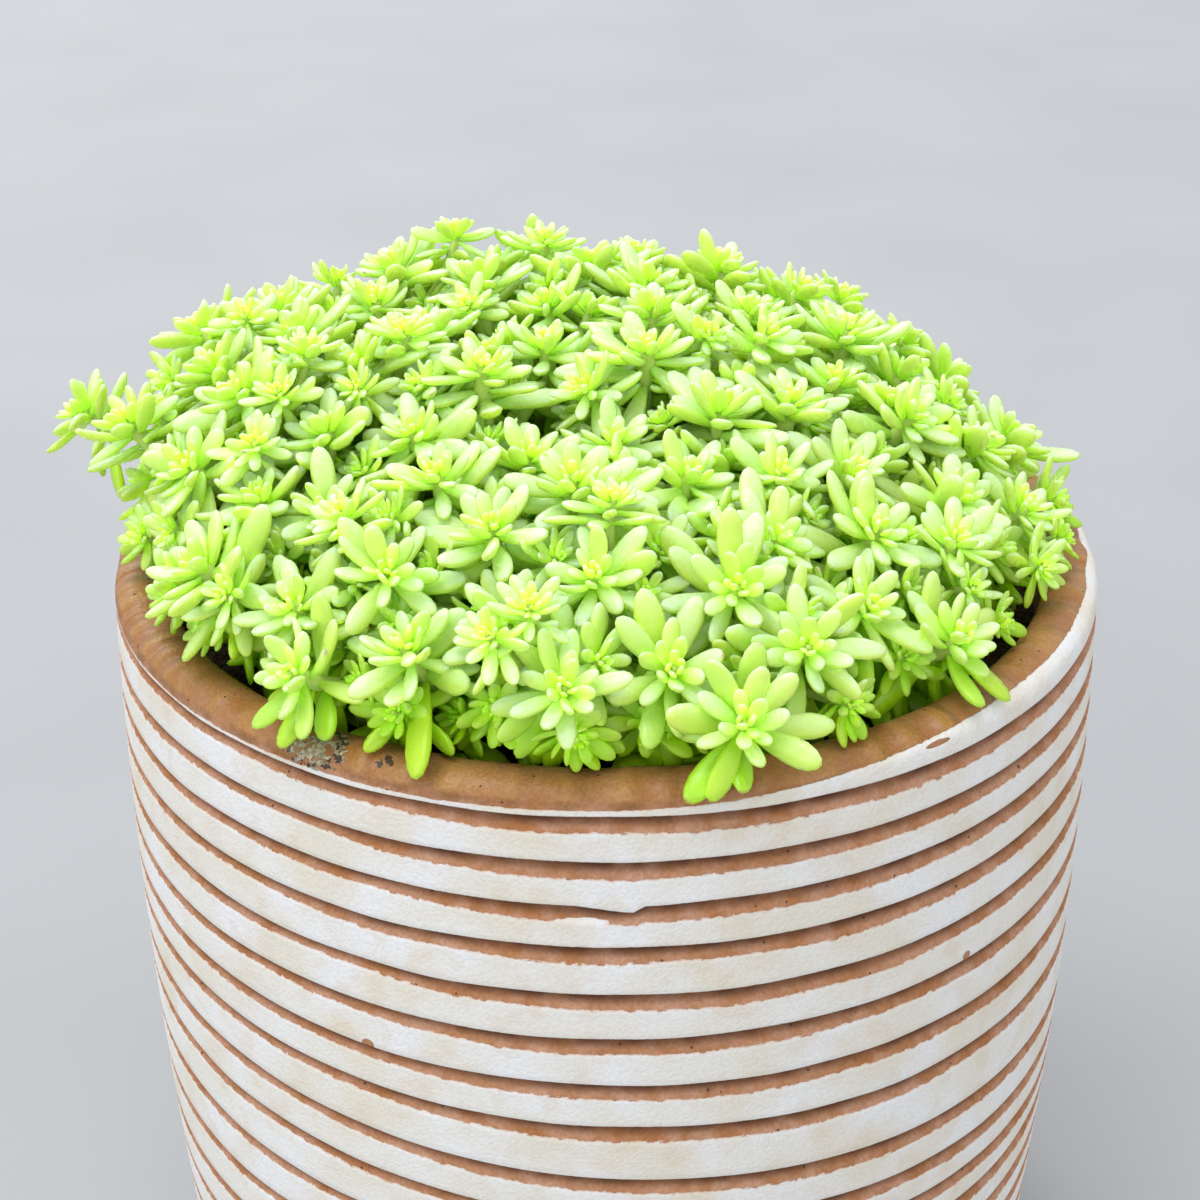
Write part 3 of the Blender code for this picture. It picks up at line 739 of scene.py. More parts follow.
def head_tip(x, y, draw):
    """A rosette's place on the dome and the way it faces: up in the middle and out at the edge."""
    share = min(1, math.hypot(x, y))
    height = dome_height(x, y) + draw.uniform(-1, 1) * HEIGHT_JITTER
    place = MAT_MIDDLE + Vector((x * MAT_WIDTH / 2, y * MAT_DEPTH / 2, height))
    outward = Vector((x, y, 0)).normalized()
    around = math.atan2(y, x)
    bulge = max(0, math.cos(around - MAT_BULGE_TURN))
    shoulder = max(0, math.cos(around - MAT_SHOULDER_TURN))
    place += outward * MAT_BULGE * bulge**3 * share**2 + UP * MAT_SHOULDER * shoulder**8 * share**3
    lean = EDGE_LEAN * share**1.6 + draw.gauss(0, LEAN_JITTER)
    sideways = draw.gauss(0, LEAN_JITTER)
    axis = outward * math.sin(lean) + UP * math.cos(lean) + outward.cross(UP) * math.sin(sideways)
    return place, axis.normalized()


def stems_of_heads(tips, draw):
    """Groups the rosettes into stems: enough neighbours share a forked stem to leave the stem count."""
    free = list(range(len(tips)))
    draw.shuffle(free)
    stems = []
    while free:
        first = free.pop(0)
        group = [first]
        if len(stems) < HEAD_COUNT - STEM_COUNT:
            nearest = min(free, key=lambda other: (tips[other][0] - tips[first][0]).length)
            free.remove(nearest)
            group.append(nearest)
        stems.append(group)
    return stems


def foot_under(places):
    """Where a stem stands in its hole: under its rosettes, drawn in towards the middle of the pot."""
    middle = sum(places, Vector()) / len(places) * FOOT_SHARE
    surface = soil_height(math.hypot(middle.x, middle.y))
    return Vector((middle.x, middle.y, surface - HOLE_DEPTH + SEAT_GAP))


def stem_path(start, tip, axis, bow):
    """Four points of a stem: straight up out of its hole, over a bowed middle, and on to its tip."""
    across, along = bow
    collar = Vector((start.x, start.y, start.z + HOLE_DEPTH + COLLAR))
    reach = (tip - collar).length
    middle = (collar + UP * reach * 0.4 + tip - axis * reach * 0.4) / 2
    middle += axis.cross(UP) * across + UP.cross(axis.cross(UP)) * along
    return [start, collar, middle, tip]


def ring(centre, turn, radius, spin):
    """The corners of a regular ring across the direction that turn gives to Z."""
    angles = [spin + math.tau * side / STEM_SIDES for side in range(STEM_SIDES)]
    return [centre + turn @ Vector((radius * math.cos(a), radius * math.sin(a), 0)) for a in angles]


def stem_tree(shoot, swell):
    """A search tree of a shoot's stem and bud, with its middle and its reach from there."""
    radius = STEM_RADIUS * shoot.thinning + swell
    slants = [Quaternion(), Quaternion(), Quaternion().slerp(shoot.turn, 0.6), shoot.turn]
    rings = [ring(point, turn, radius, shoot.spin) for point, turn in zip(shoot.path, slants)]
    top = shoot.path[-1] + shoot.axis * BUD_BELT * shoot.size
    rings.append(ring(top, shoot.turn, BUD_RADIUS * shoot.size + swell, shoot.spin))
    points = [point for loop in rings for point in loop]
    faces = [tuple(range(STEM_SIDES))]
    for row in range(len(rings) - 1):
        for side in range(STEM_SIDES):
            after = (side + 1) % STEM_SIDES
            low, high = row * STEM_SIDES, (row + 1) * STEM_SIDES
            faces.append((low + side, low + after, high + after))
            faces.append((low + side, high + after, high + side))
    last = (len(rings) - 1) * STEM_SIDES
    faces += [(last + side, last + (side + 1) % STEM_SIDES, len(points)) for side in range(STEM_SIDES)]
    points.append(top + shoot.axis * BUD_TIP * shoot.size)
    middle = sum(points, Vector()) / len(points)
    reach = max((point - middle).length for point in points)
    return BVHTree.FromPolygons(points, faces), middle, reach


def is_clear(shoot, others):
    """Whether a shoot's stem and bud are clear of the pot and of other stems."""
    stops = shoot.path[1:] + [shoot.path[-1] + shoot.axis * BUD_BELT]
    if line_hits_pot(stops, STEM_RADIUS + CLEARANCE):
        return False
    tree, middle, reach = stem_tree(shoot, CLEARANCE)
    near = (other for other, centre, size in others if (centre - middle).length < reach + size)
    return not any(tree.overlap(other) for other in near)


def main_shoot(stem, foot, tip, axis, draw, others):
    """A stem's first shoot, raised clear of the rim and bowed clear of the other stems."""
    spin = draw.uniform(0, math.tau)
    size = draw.uniform(*ROSETTE_SIZES)
    for lift in range(RAISE_TRIES):
        for bow in BOWS:
            path = stem_path(foot, tip + UP * lift * RAISE_STEP, axis, bow)
            shoot = Shoot(stem, path, axis, spin, size)
            if is_clear(shoot, others):
                return shoot
    return None


def forked_shoot(trunk, tip, axis, draw, others):
    """A stem's second shoot, which leaves the first a little below its bowed middle."""
    spin = draw.uniform(0, math.tau)
    size = draw.uniform(*ROSETTE_SIZES)
    start = trunk.path[2].lerp(trunk.path[1], 0.35)
    for lift in range(RAISE_TRIES):
        raised = tip + UP * lift * RAISE_STEP
        path = [start, start.lerp(raised, 0.4) + UP * MM, start.lerp(raised, 0.7) + UP * MM, raised]
        shoot = Shoot(trunk.stem, path, axis, spin, size, FORK_THINNING)
        if is_clear(shoot, others):
            return shoot
    return None


def plant_mat():
    """All the shoots of the mat, with the stray one last."""
    draw = random.Random(SEED)
    tips = [head_tip(*head_place(count, draw), draw) for count in range(HEAD_COUNT)]
    groups = [[tips[head] for head in group] for group in stems_of_heads(tips, draw)]
    groups.sort(key=lambda group: group[0][0].y)
    feet = [foot_under([tip for tip, _ in group]) for group in groups]
    groups.append([(STRAY_TIP, STRAY_AXIS)])
    feet.append(foot_under([STRAY_FOOT / FOOT_SHARE]))
    shoots = []
    for stem, (group, foot) in enumerate(zip(groups, feet)):
        others = [stem_tree(other, 0) for other in shoots]
        trunk = main_shoot(stem, foot, *group[0], draw, others)
        shoots.append(trunk)
        if len(group) == 2:
            shoots.append(forked_shoot(trunk, *group[1], draw, others))
    return shoots


shoots = plant_mat()


# The leaves
# Each rosette holds two to three dozen fleshy leaves in a spiral, from tiny upright ones in its heart to
# long ones that hang from the stem below it. A leaf is smooth and waxy, blunt at its tip and thick like a
# seed, flatter on top with a faint channel, and narrow where it leaves the stem.


@dataclass
class Whorl:
    """One turn of leaves: how many, how far above the stem's tip they sit, how they stand, and their size.

    Age runs from 0 in the heart to 1 at the bottom. Drift is how much lower each next leaf sits.
    """

    leaves: int
    seat: float
    drift: float
    turn: float
    rise: float
    length: float
    width: float
    thickness: float
    curl: float
    age: float


def whorl(leaves, seat, drift, turn, rise, length, width, thickness, curl, age):
    """A whorl from millimetres and degrees."""
    sizes = (length * MM, width * MM, thickness * MM)
    angles = (math.radians(turn), math.radians(rise))
    return Whorl(leaves, seat * MM, drift * MM, *angles, *sizes, math.radians(curl), age)


HEART = whorl(5, 2.4, 0.12, 18, 66, 1.7, 1.0, 0.55, 14, 0.0)
YOUNG = whorl(5, 1.9, 0.1, 40, 48, 3.1, 1.5, 0.75, 16, 0.18)
INNER = whorl(5, 1.3, 0.1, 0, 31, 4.7, 1.95, 0.95, 14, 0.36)
OUTER = whorl(5, 0.7, 0.15, 36, 12, 6.4, 2.25, 1.1, 8, 0.56)
LOWER = whorl(5, -0.8, 0.3, 12, -4, 7.6, 2.5, 1.2, 0, 0.72)
LOWEST = whorl(5, -3.0, 0.7, 50, -24, 8.6, 2.7, 1.3, -6, 0.88)
SUNKEN = whorl(6, -7.5, 1.6, 20, -8, 8.8, 2.8, 1.4, 0, 1.0)

TWO_FIFTHS = 0.4 * math.tau
TURN_JITTER = math.radians(11)
RISE_JITTER = math.radians(9)
SIZE_JITTER = 0.18
TWIST_JITTER = math.radians(20)
CURL_JITTER = math.radians(14)

# What a leaf tries when others are in its way: degrees up, degrees round, a share of its length.
LEAF_TRIES = np.array([
    (0, 0, 1), (11, 0, 1), (-11, 0, 1), (0, 13, 1), (0, -13, 1), (22, 0, 1), (-22, 0, 1), (11, 13, 1),
    (11, -13, 1), (-11, 13, 1), (-11, -13, 1), (34, 0, 0.95), (-34, 0, 0.95), (0, 24, 0.95), (0, -24, 0.95),
    (0, 0, 0.8), (22, 0, 0.75), (-22, 0, 0.75), (0, 0, 0.65), (45, 0, 0.7),
])
TRY_COSTS = 0.05 * MM * (np.abs(LEAF_TRIES[:, 0]) / 11 + np.abs(LEAF_TRIES[:, 1]) / 13)
TRY_COSTS += 1.2 * MM * (1 - LEAF_TRIES[:, 2])
MOST_CROWDED = 1.9 * MM
SPOT_SHARES = np.array((0.3, 0.55, 0.78, 0.97))
SPOT_SIZES = np.array((0.28, 0.36, 0.38, 0.24))
THICKEST = 1.4 * MM


class Thicket:
    """Round spots along everything grown so far, which show where a new leaf has room."""

    def __init__(self):
        self.middles = np.zeros((0, 3))
        self.radii = np.zeros(0)

    def add(self, middles, radii):
        """Adds spots."""
        self.middles = np.vstack([self.middles, middles])
        self.radii = np.append(self.radii, radii)

    def crowding(self, tries, radii):
        """How deep the spots of each try reach into other spots, the clay and the soil, added up."""
        middle = tries.mean(axis=(0, 1))
        reach = np.linalg.norm(tries - middle, axis=-1).max() + radii.max() + THICKEST
        near = np.linalg.norm(self.middles - middle, axis=1) < reach
        apart = np.linalg.norm(tries[:, :, None] - self.middles[near], axis=-1)
        depth = radii[None, :, None] + self.radii[near] - apart
        total = np.maximum(0, depth).sum(axis=(1, 2))
        return total + 4 * depth_in_pot(tries, radii).sum(axis=1)


def depth_in_pot(spots, radii):
    """How deep round spots reach into the wall of the pot or the soil."""
    reach = np.hypot(spots[..., 0], spots[..., 1])
    height = spots[..., 2]
    inside = pot_radius(POT_HEIGHT) - WALL
    in_wall = np.minimum(reach - inside + radii, pot_radius(height) + radii - reach)
    in_wall = np.minimum(in_wall, POT_HEIGHT + radii - height)
    in_soil = np.where(reach < inside, soil_height(reach) + radii - height, 0)
    return np.maximum(0, np.maximum(in_wall, in_soil))


@dataclass
class Stalk:
    """A smooth stem, as points and the way it runs at each, and how far each is from its tip."""

    points: np.ndarray
    ways: np.ndarray
    from_tip: np.ndarray
    radius: float

    def at(self, distance):
        """The place and the way it runs at a distance below the tip, or above it where that is negative."""
        if distance < 0:
            return Vector(self.points[-1] - self.ways[-1] * distance), Vector(self.ways[-1])
        index = int(np.argmin(np.abs(self.from_tip - distance)))
        return Vector(self.points[index]), Vector(self.ways[index])


def smooth_stalk(path, axis, radius):
    """A smooth stem through the points of a path, which leaves the last along an axis."""
    stops = [np.array(path[0]) * 2 - np.array(path[1]), *map(np.array, path)]
    stops.append(stops[-1] + np.array(axis) * np.linalg.norm(stops[-1] - stops[-2]))
    points = []
    for before, start, end, after in zip(stops, stops[1:], stops[2:], stops[3:]):
        steps = max(2, round(np.linalg.norm(end - start) / MM))
        for t in np.arange(steps) / steps:
            points.append(
                0.5 * (2 * start + (end - before) * t + (2 * before - 5 * start + 4 * end - after) * t**2
                       + (3 * start - before - 3 * end + after) * t**3)
            )
    points = np.array([*points, stops[-2]])
    ways = np.gradient(points, axis=0)
    ways[-1] = axis
    ways /= np.linalg.norm(ways, axis=1)[:, None]
    lengths = np.linalg.norm(np.diff(points, axis=0), axis=1)
    from_tip = np.append(np.cumsum(lengths[::-1])[::-1], 0)
    return Stalk(points, ways, from_tip, radius)


@dataclass
class Leaf:
    """One leaf: where it leaves the stem, the way it runs and faces, its size, and its looks."""

    seat: np.ndarray
    along: np.ndarray
    face: np.ndarray
    length: float
    width: float
    thickness: float
    curl: float
    age: float
    tint: float

    def line(self, shares):
        """Places along the middle of the leaf, at shares of its length."""
        bent = 0.5 * self.curl * shares**2
        return self.seat + self.length * (np.outer(shares, self.along) + np.outer(bent, self.face))


def aimed_leaf(stalk, shape, place, draw, size, tries):
    """The same leaf aimed in each of several ways: round and up from the stem, and of a length."""
    distance = -(shape.seat - place * shape.drift) * size
    seat, way = stalk.at(distance)
    turn = UP.rotation_difference(way)
    around = shape.turn + place * TWO_FIFTHS + draw.gauss(0, TURN_JITTER)
    rise = shape.rise + draw.gauss(0, RISE_JITTER)
    stretch = size * (1 + draw.uniform(-1, 1) * SIZE_JITTER)
    twist = draw.gauss(0, TWIST_JITTER)
    curl = shape.curl + draw.gauss(0, CURL_JITTER)
    tint = draw.random()
    leaves = []
    for up, aside, share in tries:
        a = around + math.radians(aside)
        r = rise + math.radians(up)
        out = Vector((math.cos(a), math.sin(a), 0))
        along = turn @ (out * math.cos(r) + UP * math.sin(r))
        face = Quaternion(along, twist) @ (turn @ (UP * math.cos(r) - out * math.sin(r)))
        root = seat + turn @ out * min(0.6 * stalk.radius, 0.3 * shape.width * size)
        sizes = (shape.length * stretch * share, shape.width * stretch, shape.thickness * stretch)
        leaves.append(Leaf(np.array(root), np.array(along), np.array(face), *sizes, curl, shape.age, tint))
    return leaves


def grow_leaf(rosette, shape, place, thicket, draw):
    """Adds a leaf to a rosette, in the freest of the ways that it can go, or none if all are too tight."""
    leaves = aimed_leaf(rosette.stalk, shape, place, draw, rosette.size, LEAF_TRIES)
    tries = np.array([leaf.line(SPOT_SHARES) for leaf in leaves])
    radii = SPOT_SIZES * shape.width * rosette.size
    costs = thicket.crowding(tries, radii) + TRY_COSTS
    best = int(np.argmin(costs))
    if costs[best] < MOST_CROWDED:
        thicket.add(tries[best], radii)
        rosette.leaves.append(leaves[best])


@dataclass
class Rosette:
    """A stalk, its size and turn, and the leaves grown on it."""

    stem: int
    stalk: Stalk
    size: float
    spin: float
    leaves: list


def highest_first(rosettes):
    """The rosettes from the highest down."""
    return sorted(rosettes, key=lambda rosette: -rosette.stalk.points[-1][2])


def grow_whorls(rosettes, shapes, thicket, draw):
    """Grows whorls on every rosette, one whorl after the other, the highest rosettes first."""
    in_turn = highest_first(rosettes)
    for shape in shapes:
        for rosette in in_turn:
            mine = replace(shape, turn=shape.turn + rosette.spin)
            for place in range(shape.leaves):
                grow_leaf(rosette, mine, place, thicket, draw)


SIDE_REACHES = (4 * MM, 6 * MM, 8 * MM)
SIDE_DROPS = (0.5 * MM, 3 * MM, 6 * MM, 9 * MM)
SIDE_STALK = 5 * MM
SIDE_WAYS = 12
SIDE_SIZES = (0.55, 0.82)
SIDE_SPOTS = np.array((0, 2.2)) * MM
SIDE_RADII = np.array((3.3, 3.0)) * MM
SIDE_CROWDED = 3.2 * MM
SIDE_DROP_COST = 0.12
SIDE_ROUNDS = 3
RIM_MIDDLE = 50 * MM
LEAF_SEED = 5


def side_places(parent):
    """The places that a side shoot of a stem could grow to: its start, its tip and the way it faces."""
    places = []
    for drop in SIDE_DROPS:
        level, way = parent.stalk.at(drop)
        start, _ = parent.stalk.at(drop + SIDE_STALK)
        turn = UP.rotation_difference(way)
        for count in range(SIDE_WAYS):
            around = parent.spin + count * math.tau / SIDE_WAYS
            out = turn @ Vector((math.cos(around), math.sin(around), 0))
            for reach in SIDE_REACHES:
                axis = (way + out * reach / (9 * MM)).normalized()
                places.append((start, level + out * reach, axis, drop))
    return places


def past_rim(place):
    """How far a place has strayed out past the middle of the rim."""
    return max(0, math.hypot(place.x, place.y) - RIM_MIDDLE)


def side_rosette(parent, thicket, draw):
    """A small side shoot in the widest gap beside a stem, or none if there is no gap."""
    size = draw.uniform(*SIDE_SIZES)
    spin = draw.uniform(0, math.tau)
    places = side_places(parent)
    spots = np.array([[tip + axis * up for up in SIDE_SPOTS] for _, tip, axis, _ in places])
    costs = thicket.crowding(spots, SIDE_RADII * size)
    costs += np.array([SIDE_DROP_COST * drop + past_rim(tip) for _, tip, _, drop in places])
    best = int(np.argmin(costs))
    if costs[best] > SIDE_CROWDED:
        return None
    start, tip, axis, _ = places[best]
    stalk = smooth_stalk([start, start.lerp(tip, 0.55) - UP * 0.5 * MM, tip], axis, STEM_RADIUS * 0.6)
    thicket.add(stalk.points, np.full(len(stalk.points), stalk.radius))
    return Rosette(parent.stem, stalk, size, spin, [])


def grow_foliage():
    """Every rosette with its leaves: the main ones, then the side ones that fill the gaps between them."""
    draw = random.Random(LEAF_SEED)
    thicket = Thicket()
    mains = []
    for shoot in shoots:
        stalk = smooth_stalk(shoot.path, shoot.axis, STEM_RADIUS * shoot.thinning)
        mains.append(Rosette(shoot.stem, stalk, shoot.size, shoot.spin, []))
        thicket.add(stalk.points, np.full(len(stalk.points), stalk.radius))
    grow_whorls(mains, (HEART, YOUNG, INNER, OUTER), thicket, draw)
    sides = []
    for _ in range(SIDE_ROUNDS):
        for parent in highest_first(mains):
            side = side_rosette(parent, thicket, draw)
            if side:
                sides.append(side)
                grow_whorls([side], (HEART, YOUNG, INNER, OUTER), thicket, draw)
    grow_whorls(mains, (LOWER, LOWEST), thicket, draw)
    grow_whorls(sides, (LOWER,), thicket, draw)
    grow_whorls(mains, (SUNKEN,), thicket, draw)
    return mains + sides


LEAF_RINGS = np.array((0, 0.16, 0.36, 0.56, 0.73, 0.87, 0.96))
SMALL_RINGS = np.array((0, 0.34, 0.66, 0.9))
LEAF_SIDES = 8
SMALL_SIDES = 6
SMALL_LEAF = 2.4 * MM
HIDDEN = 0.4
HIDDEN_REACH = 41 * MM
LEAF_WIDEST = 0.65
LEAF_BASE = 0.3
CHANNEL = 0.16
STALK_SIDES = 8
BUD_HEIGHTS = np.array((0.9, 1.9, 2.6)) * MM
BUD_RADII = np.array((0.9, 0.7, 0.4)) * MM
BUD_TOP = 3.1 * MM
STEM_SWELL = 0.12
SWELLS_PER_MM = 1.9
DOME_MARGIN = 3 * MM


class LeafyMesh:
    """The points, faces and facts of one leafy stem, gathered tube by tube."""

    def __init__(self):
        self.points = []
        self.faces = []
        self.facts = {"along": [], "age": [], "tint": [], "sunk": []}
        self.parts = []
        self.count = 0

    def add_tube(self, rings, end, part, along, age, tint, sunk):
        """A tube of rings that closes in a point, and what the material needs to know of it."""
        rows, sides = rings.shape[:2]
        side = np.arange(sides)
        after = (side + 1) % sides
        for row in range(rows - 1):
            low, high = self.count + row * sides, self.count + (row + 1) * sides
            self.faces += np.stack([low + side, low + after, high + after, high + side], axis=-1).tolist()
        top = self.count + (rows - 1) * sides
        tip = self.count + rows * sides
        self.faces += np.stack([top + side, top + after, np.full_like(side, tip)], axis=-1).tolist()
        self.points += rings.reshape(-1, 3).tolist()
        self.points.append(list(end))
        self.parts += [part] * (rows * sides)
        self.count += rows * sides + 1
        self.facts["along"] += np.append(np.repeat(along, sides), 1).tolist()
        for fact, value in (("age", age), ("tint", tint), ("sunk", sunk)):
            self.facts[fact] += [value] * (rows * sides + 1)

    def mesh(self, name):
        """The mesh of all the tubes, with its facts and which material each face has."""
        made = bpy.data.meshes.new(name)
        made.from_pydata(self.points, [], self.faces)
        for fact, values in self.facts.items():
            made.attributes.new(fact, "FLOAT", "POINT").data.foreach_set("value", values)
        made.polygons.foreach_set("material_index", self.parts)
        return made


def leaf_width(shares):
    """The share of its full width that a leaf has along its length: narrow base, blunt round tip."""
    swelling = LEAF_BASE + (1 - LEAF_BASE) * np.sin(np.minimum(1, shares / LEAF_WIDEST) * math.pi / 2)
    rounding = np.clip((shares - LEAF_WIDEST) / (1 - LEAF_WIDEST), 0, 1)
    return swelling * (1 - rounding**2.1) ** 0.56


def leaf_rings(leaf, shares, sides):
    """A leaf's rings of points, and its tip."""
    centres = leaf.line(shares)
    bend = leaf.curl * shares[:, None]
    normals = leaf.face - bend * leaf.along
    normals /= np.linalg.norm(normals, axis=1)[:, None]
    across = np.cross(leaf.along, leaf.face)
    angles = math.pi / 2 + np.arange(sides) * math.tau / sides
    widths = 0.5 * leaf.width * leaf_width(shares)
    thick = 0.5 * leaf.thickness * leaf_width(shares) ** 0.8
    lift = np.sin(angles) * np.where(np.sin(angles) > 0, 0.86, 1.14)
    lift = lift - CHANNEL * (np.abs(np.sin(angles) - 1) < 0.01)
    sideways = widths[:, None, None] * np.cos(angles)[None, :, None] * across
    upwards = (thick[:, None] * lift[None, :])[:, :, None] * normals[:, None, :]
    return centres[:, None] + sideways + upwards, leaf.line(np.ones(1))[0]


def stalk_rings(stalk, size):
    """A stem's rings of points with the bud that fills the rosette's heart, and the bud's tip."""
    bud = [stalk.points[-1] + stalk.ways[-1] * up * size for up in BUD_HEIGHTS]
    points = np.array([*stalk.points, *bud])
    ways = np.array([*stalk.ways, *[stalk.ways[-1]] * len(bud)])
    first = np.cross(ways, (1.0, 0.0, 0.3))
    first /= np.linalg.norm(first, axis=1)[:, None]
    second = np.cross(ways, first)
    angles = np.arange(STALK_SIDES) * math.tau / STALK_SIDES
    radii = stalk.radius * (1 + STEM_SWELL * np.sin(stalk.from_tip / MM * SWELLS_PER_MM))
    radii = np.append(radii, BUD_RADII * size)
    circle = np.cos(angles)[None, :, None] * first[:, None]
    circle = circle + np.sin(angles)[None, :, None] * second[:, None]
    top = stalk.points[-1] + stalk.ways[-1] * BUD_TOP * size
    return points[:, None] + radii[:, None, None] * circle, top


def depth_below_mat(place):
    """How far a place is below the dome that the rosettes make, from 0 to 1 at the soil."""
    x = (place[0] - MAT_MIDDLE.x) / (MAT_WIDTH / 2)
    y = (place[1] - MAT_MIDDLE.y) / (MAT_DEPTH / 2)
    height = dome_height(x, y) + DOME_MARGIN
    return min(1, max(0, (height - place[2]) / (height - SOIL_TOP)))


LEAF_HEART = linear(204, 233, 104)
LEAF_YOUNG = linear(206, 232, 120)
LEAF_GREEN = linear(201, 230, 78)
# Darker, more saturated green: painted shade deep in the mat and at the leaf bases, and darker patches.
LEAF_DEEP = linear(162, 212, 20)
# Pale wax, and the painted highlight on the upward faces of leaves near the top of the mat.
LEAF_WAX_AND_HIGHLIGHT = linear(212, 240, 212)
LEAF_SCORCH = linear(176, 120, 84)
STALK_LOW = linear(166, 198, 48)
STALK_SCAR = linear(168, 160, 90)


# A leaf's gloss, and how light scatters in flesh: its share, how far each colour goes, and a scale.
LEAF_CONSTANTS = {
    "Specular IOR Level": 0.5, "Subsurface Weight": 0.7, "Subsurface Radius": (0.8, 1.0, 0.15),
    "Subsurface Scale": 2.5 * MM,
}
STALK_CONSTANTS = {
    "Subsurface Weight": 0.6, "Subsurface Radius": (0.85, 1.0, 0.3), "Subsurface Scale": 2 * MM,
}
LEAF_ROUGHNESS = (0.26, 0.42)
STALK_ROUGHNESS = (0.4, 0.55)
HUES = (0.493, 0.509)
GRAIN_SCALE = 2.2


def leaf_flesh():
    """Waxy leaf: lime in a rosette's heart, greener with age, in painted shade deep down, with pale wax and
    painted highlight on top.
    """
    made, tree, shader = new_material("leaf_flesh")
    age, along = read(tree, "age"), read(tree, "along")
    tint, sunk = read(tree, "tint"), read(tree, "sunk")
    colour = blended(tree, ramped(tree, age, 0, 0.35), LEAF_HEART, LEAF_YOUNG)
    colour = blended(tree, ramped(tree, age, 0.3, 1, 0, 0.8), colour, LEAF_GREEN)
    # Painted shade: leaves that sit deeper below the top of the mat are darker and more saturated.
    colour = blended(tree, ramped(tree, sunk, 0.1, 0.55), colour, LEAF_DEEP)
    # Leaf bases darker and more saturated: partly their own colour, partly painted shade where the leaves
    # crowd round the stem.
    colour = blended(tree, ramped(tree, along, 0, 0.5, 1, 0), colour, LEAF_DEEP, 0.7)
    patches = mottled(tree, 1.6, 1, 1.4)
    colour = blended(tree, patches, colour, LEAF_DEEP, 0.2)
    hue = {"Color": colour, "Hue": ramped(tree, tint, 0, 1, *HUES)}
    colour = put(tree, "HueSaturation", hue).outputs[0]
    # A pale waxy coat towards the tips, with a painted highlight on faces that look up, on leaves near the
    # top of the mat.
    facing = parted(tree, "SeparateXYZ", put(tree, "NewGeometry").outputs["Normal"])[2]
    wax_and_highlight = times(tree, ramped(tree, facing, 0.1, 0.95), ramped(tree, along, 0.15, 0.9, 0.3, 1))
    fine = {"Vector": in_millimetres(tree), "Scale": GRAIN_SCALE, "Detail": 1}
    grain = put(tree, "TexNoise", fine).outputs[0]
    wax_and_highlight = times(tree, wax_and_highlight, ramped(tree, grain, 0.2, 0.8, 0.35, 0.85))
    wax_and_highlight = times(tree, wax_and_highlight, ramped(tree, sunk, 0.05, 0.4, 1, 0))
    colour = blended(tree, wax_and_highlight, colour, LEAF_WAX_AND_HIGHLIGHT)
    dry_tip = times(tree, ramped(tree, tint, 0.975, 0.99), ramped(tree, along, 0.93, 0.99))
    colour = blended(tree, dry_tip, colour, LEAF_SCORCH, 0.6)
    rough = ramped(tree, patches, 0, 1, *LEAF_ROUGHNESS)
    shader.subsurface_method = "BURLEY"
    finish_shader(tree, shader, colour, rough, LEAF_CONSTANTS)
    return made


def stalk_flesh():
    """Pale green stem, as bright as the leaves in the bud, browner towards the soil, with faint scars."""
    made, tree, shader = new_material("stalk_flesh")
    along = read(tree, "along")
    colour = blended(tree, ramped(tree, along, 0, 0.7), STALK_LOW, LEAF_YOUNG)
    scars = times(tree, mottled(tree, 1.1, 1, 2), ramped(tree, along, 0.3, 0.85, 0.4, 0))
    colour = blended(tree, scars, colour, STALK_SCAR)
    colour = blended(tree, ramped(tree, along, 0.85, 1), colour, LEAF_HEART)
    rough = ramped(tree, scars, 0, 1, *STALK_ROUGHNESS)
    shader.subsurface_method = "BURLEY"
    finish_shader(tree, shader, colour, rough, STALK_CONSTANTS)
    return made


rosettes = grow_foliage()
leaf_material = leaf_flesh()
stalk_material = stalk_flesh()
for stem in range(STEM_COUNT + 1):
    leafy = LeafyMesh()
    for rosette in (rosette for rosette in rosettes if rosette.stem == stem):
        rings, top = stalk_rings(rosette.stalk, rosette.size)
        up = np.linspace(0, 1, len(rings))
        leafy.add_tube(rings, top, 1, up, 1, 0.5, 0.5)
        for leaf in rosette.leaves:
            middle = leaf.line(np.array([0.6]))[0]
            sunk = depth_below_mat(middle)
            hidden = sunk > HIDDEN and math.hypot(middle[0], middle[1]) < HIDDEN_REACH
            plain = leaf.length < SMALL_LEAF or hidden
            shares, sides = (SMALL_RINGS, SMALL_SIDES) if plain else (LEAF_RINGS, LEAF_SIDES)
            rings, top = leaf_rings(leaf, shares, sides)
            leafy.add_tube(rings, top, 0, shares, leaf.age, leaf.tint, sunk)
    name = f"stonecrop_stem_{stem + 1:02d}"
    piece = shown(f"leafy_stem_{stem + 1:02d}", leafy.mesh(name), name)
    piece.data.materials.append(leaf_material)
    piece.data.materials.append(stalk_material)


# The stage
# A plain pale floor, wide soft lights above and behind as from a bright window, and the camera where the
# photographer's was: in front, looking down on the rim.

FLOOR_REACH = 6.0
FLOOR_PAINT = linear(160, 162, 165), linear(165, 167, 170)
FLOOR_PATCH = 60
ROOM_COLOUR = (0.96, 0.98, 1, 1)
ROOM_BRIGHTNESS = 0.88
POT_MIDDLE = Vector((0, 0, 0.09))

# Square soft lights that face the pot: place, width, watts and colour.
LIGHTS = {
    "window": ((-0.6, 1.7, 1.3), 1.2, 19, (1, 1, 0.99)),
    "ceiling": ((-0.4, -0.2, 2.1), 1.2, 20, (1, 1, 1)),
    "room": ((1.2, -1.9, 0.85), 1.8, 8.5, (1, 0.96, 0.9)),
    "left_room": ((-1.9, -1.4, 0.9), 1.5, 16, (0.98, 0.99, 1)),
}

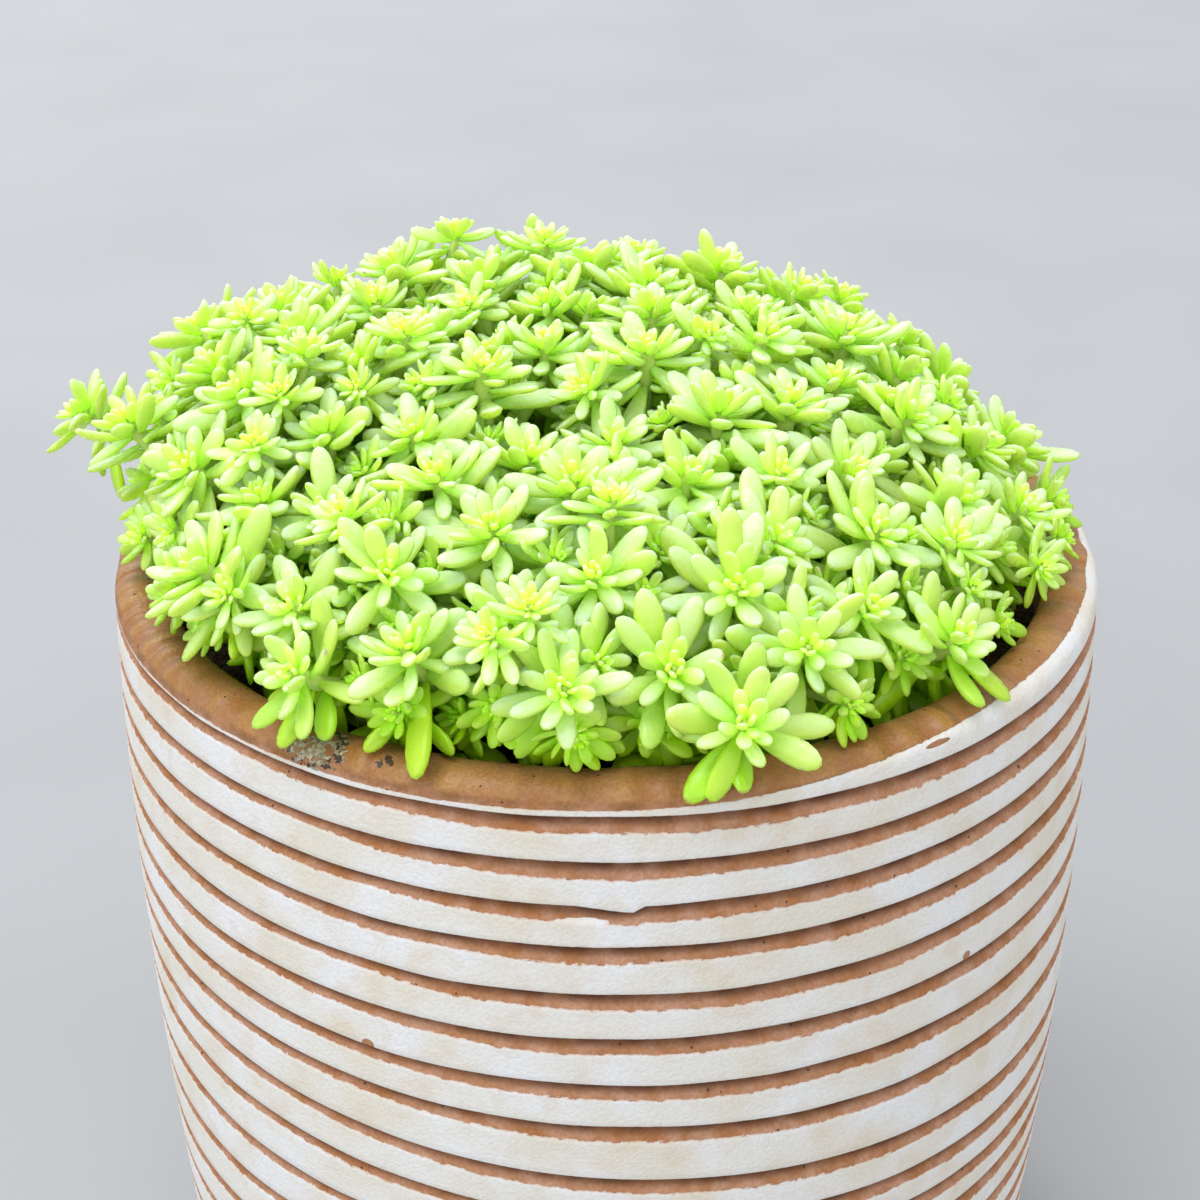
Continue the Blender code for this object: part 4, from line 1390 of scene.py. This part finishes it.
floor_mesh = bpy.data.meshes.new("floor")
corners = [(x * FLOOR_REACH, y * FLOOR_REACH, 0) for x, y in ((-1, -1), (1, -1), (1, 1), (-1, 1))]
floor_mesh.from_pydata(corners, [], [(0, 1, 2, 3)])
floor = bpy.data.objects.new("floor", floor_mesh)
bpy.context.scene.collection.objects.link(floor)
pale_floor, tree, shader = new_material("pale_floor")
paint = blended(tree, mottled(tree, FLOOR_PATCH, 1), *FLOOR_PAINT)
tree.links.new(paint, shader.inputs["Base Color"])
shader.inputs["Roughness"].default_value = 0.8
floor.data.materials.append(pale_floor)

for name, (place, width, watts, colour) in LIGHTS.items():
    lamp = bpy.data.lights.new(name, "AREA")
    lamp.size = width
    lamp.energy = watts
    lamp.color = colour
    light = bpy.data.objects.new(name, lamp)
    light.location = place
    light.rotation_mode = "QUATERNION"
    light.rotation_quaternion = (POT_MIDDLE - Vector(place)).to_track_quat("-Z", "Y")
    bpy.context.scene.collection.objects.link(light)

world = bpy.data.worlds.new("pale room")
world.use_nodes = True
world.node_tree.nodes["Background"].inputs["Color"].default_value = ROOM_COLOUR
world.node_tree.nodes["Background"].inputs["Strength"].default_value = ROOM_BRIGHTNESS
bpy.context.scene.world = world
bpy.context.scene.view_settings.view_transform = "Standard"

CAMERA_LENS = 72
CAMERA_AIM = Vector((-0.7, 0, 91.2)) * MM
CAMERA_DISTANCE = 274.4 * MM
CAMERA_ELEVATION = math.radians(27.526)
CAMERA_ROLL = math.radians(-0.303)

camera_data = bpy.data.cameras.new("camera")
camera_data.lens = CAMERA_LENS
camera_data.sensor_width = 36
camera_data.clip_start = 10 * MM
camera = bpy.data.objects.new("camera", camera_data)
back = Vector((0, -math.cos(CAMERA_ELEVATION), math.sin(CAMERA_ELEVATION)))
above = Vector((0, math.sin(CAMERA_ELEVATION), math.cos(CAMERA_ELEVATION)))
rolled = Quaternion(back, CAMERA_ROLL)
axes = Matrix((rolled @ Vector((1, 0, 0)), rolled @ above, back)).transposed()
camera.matrix_world = Matrix.Translation(CAMERA_AIM + back * CAMERA_DISTANCE) @ axes.to_4x4()
bpy.context.scene.collection.objects.link(camera)
bpy.context.scene.camera = camera
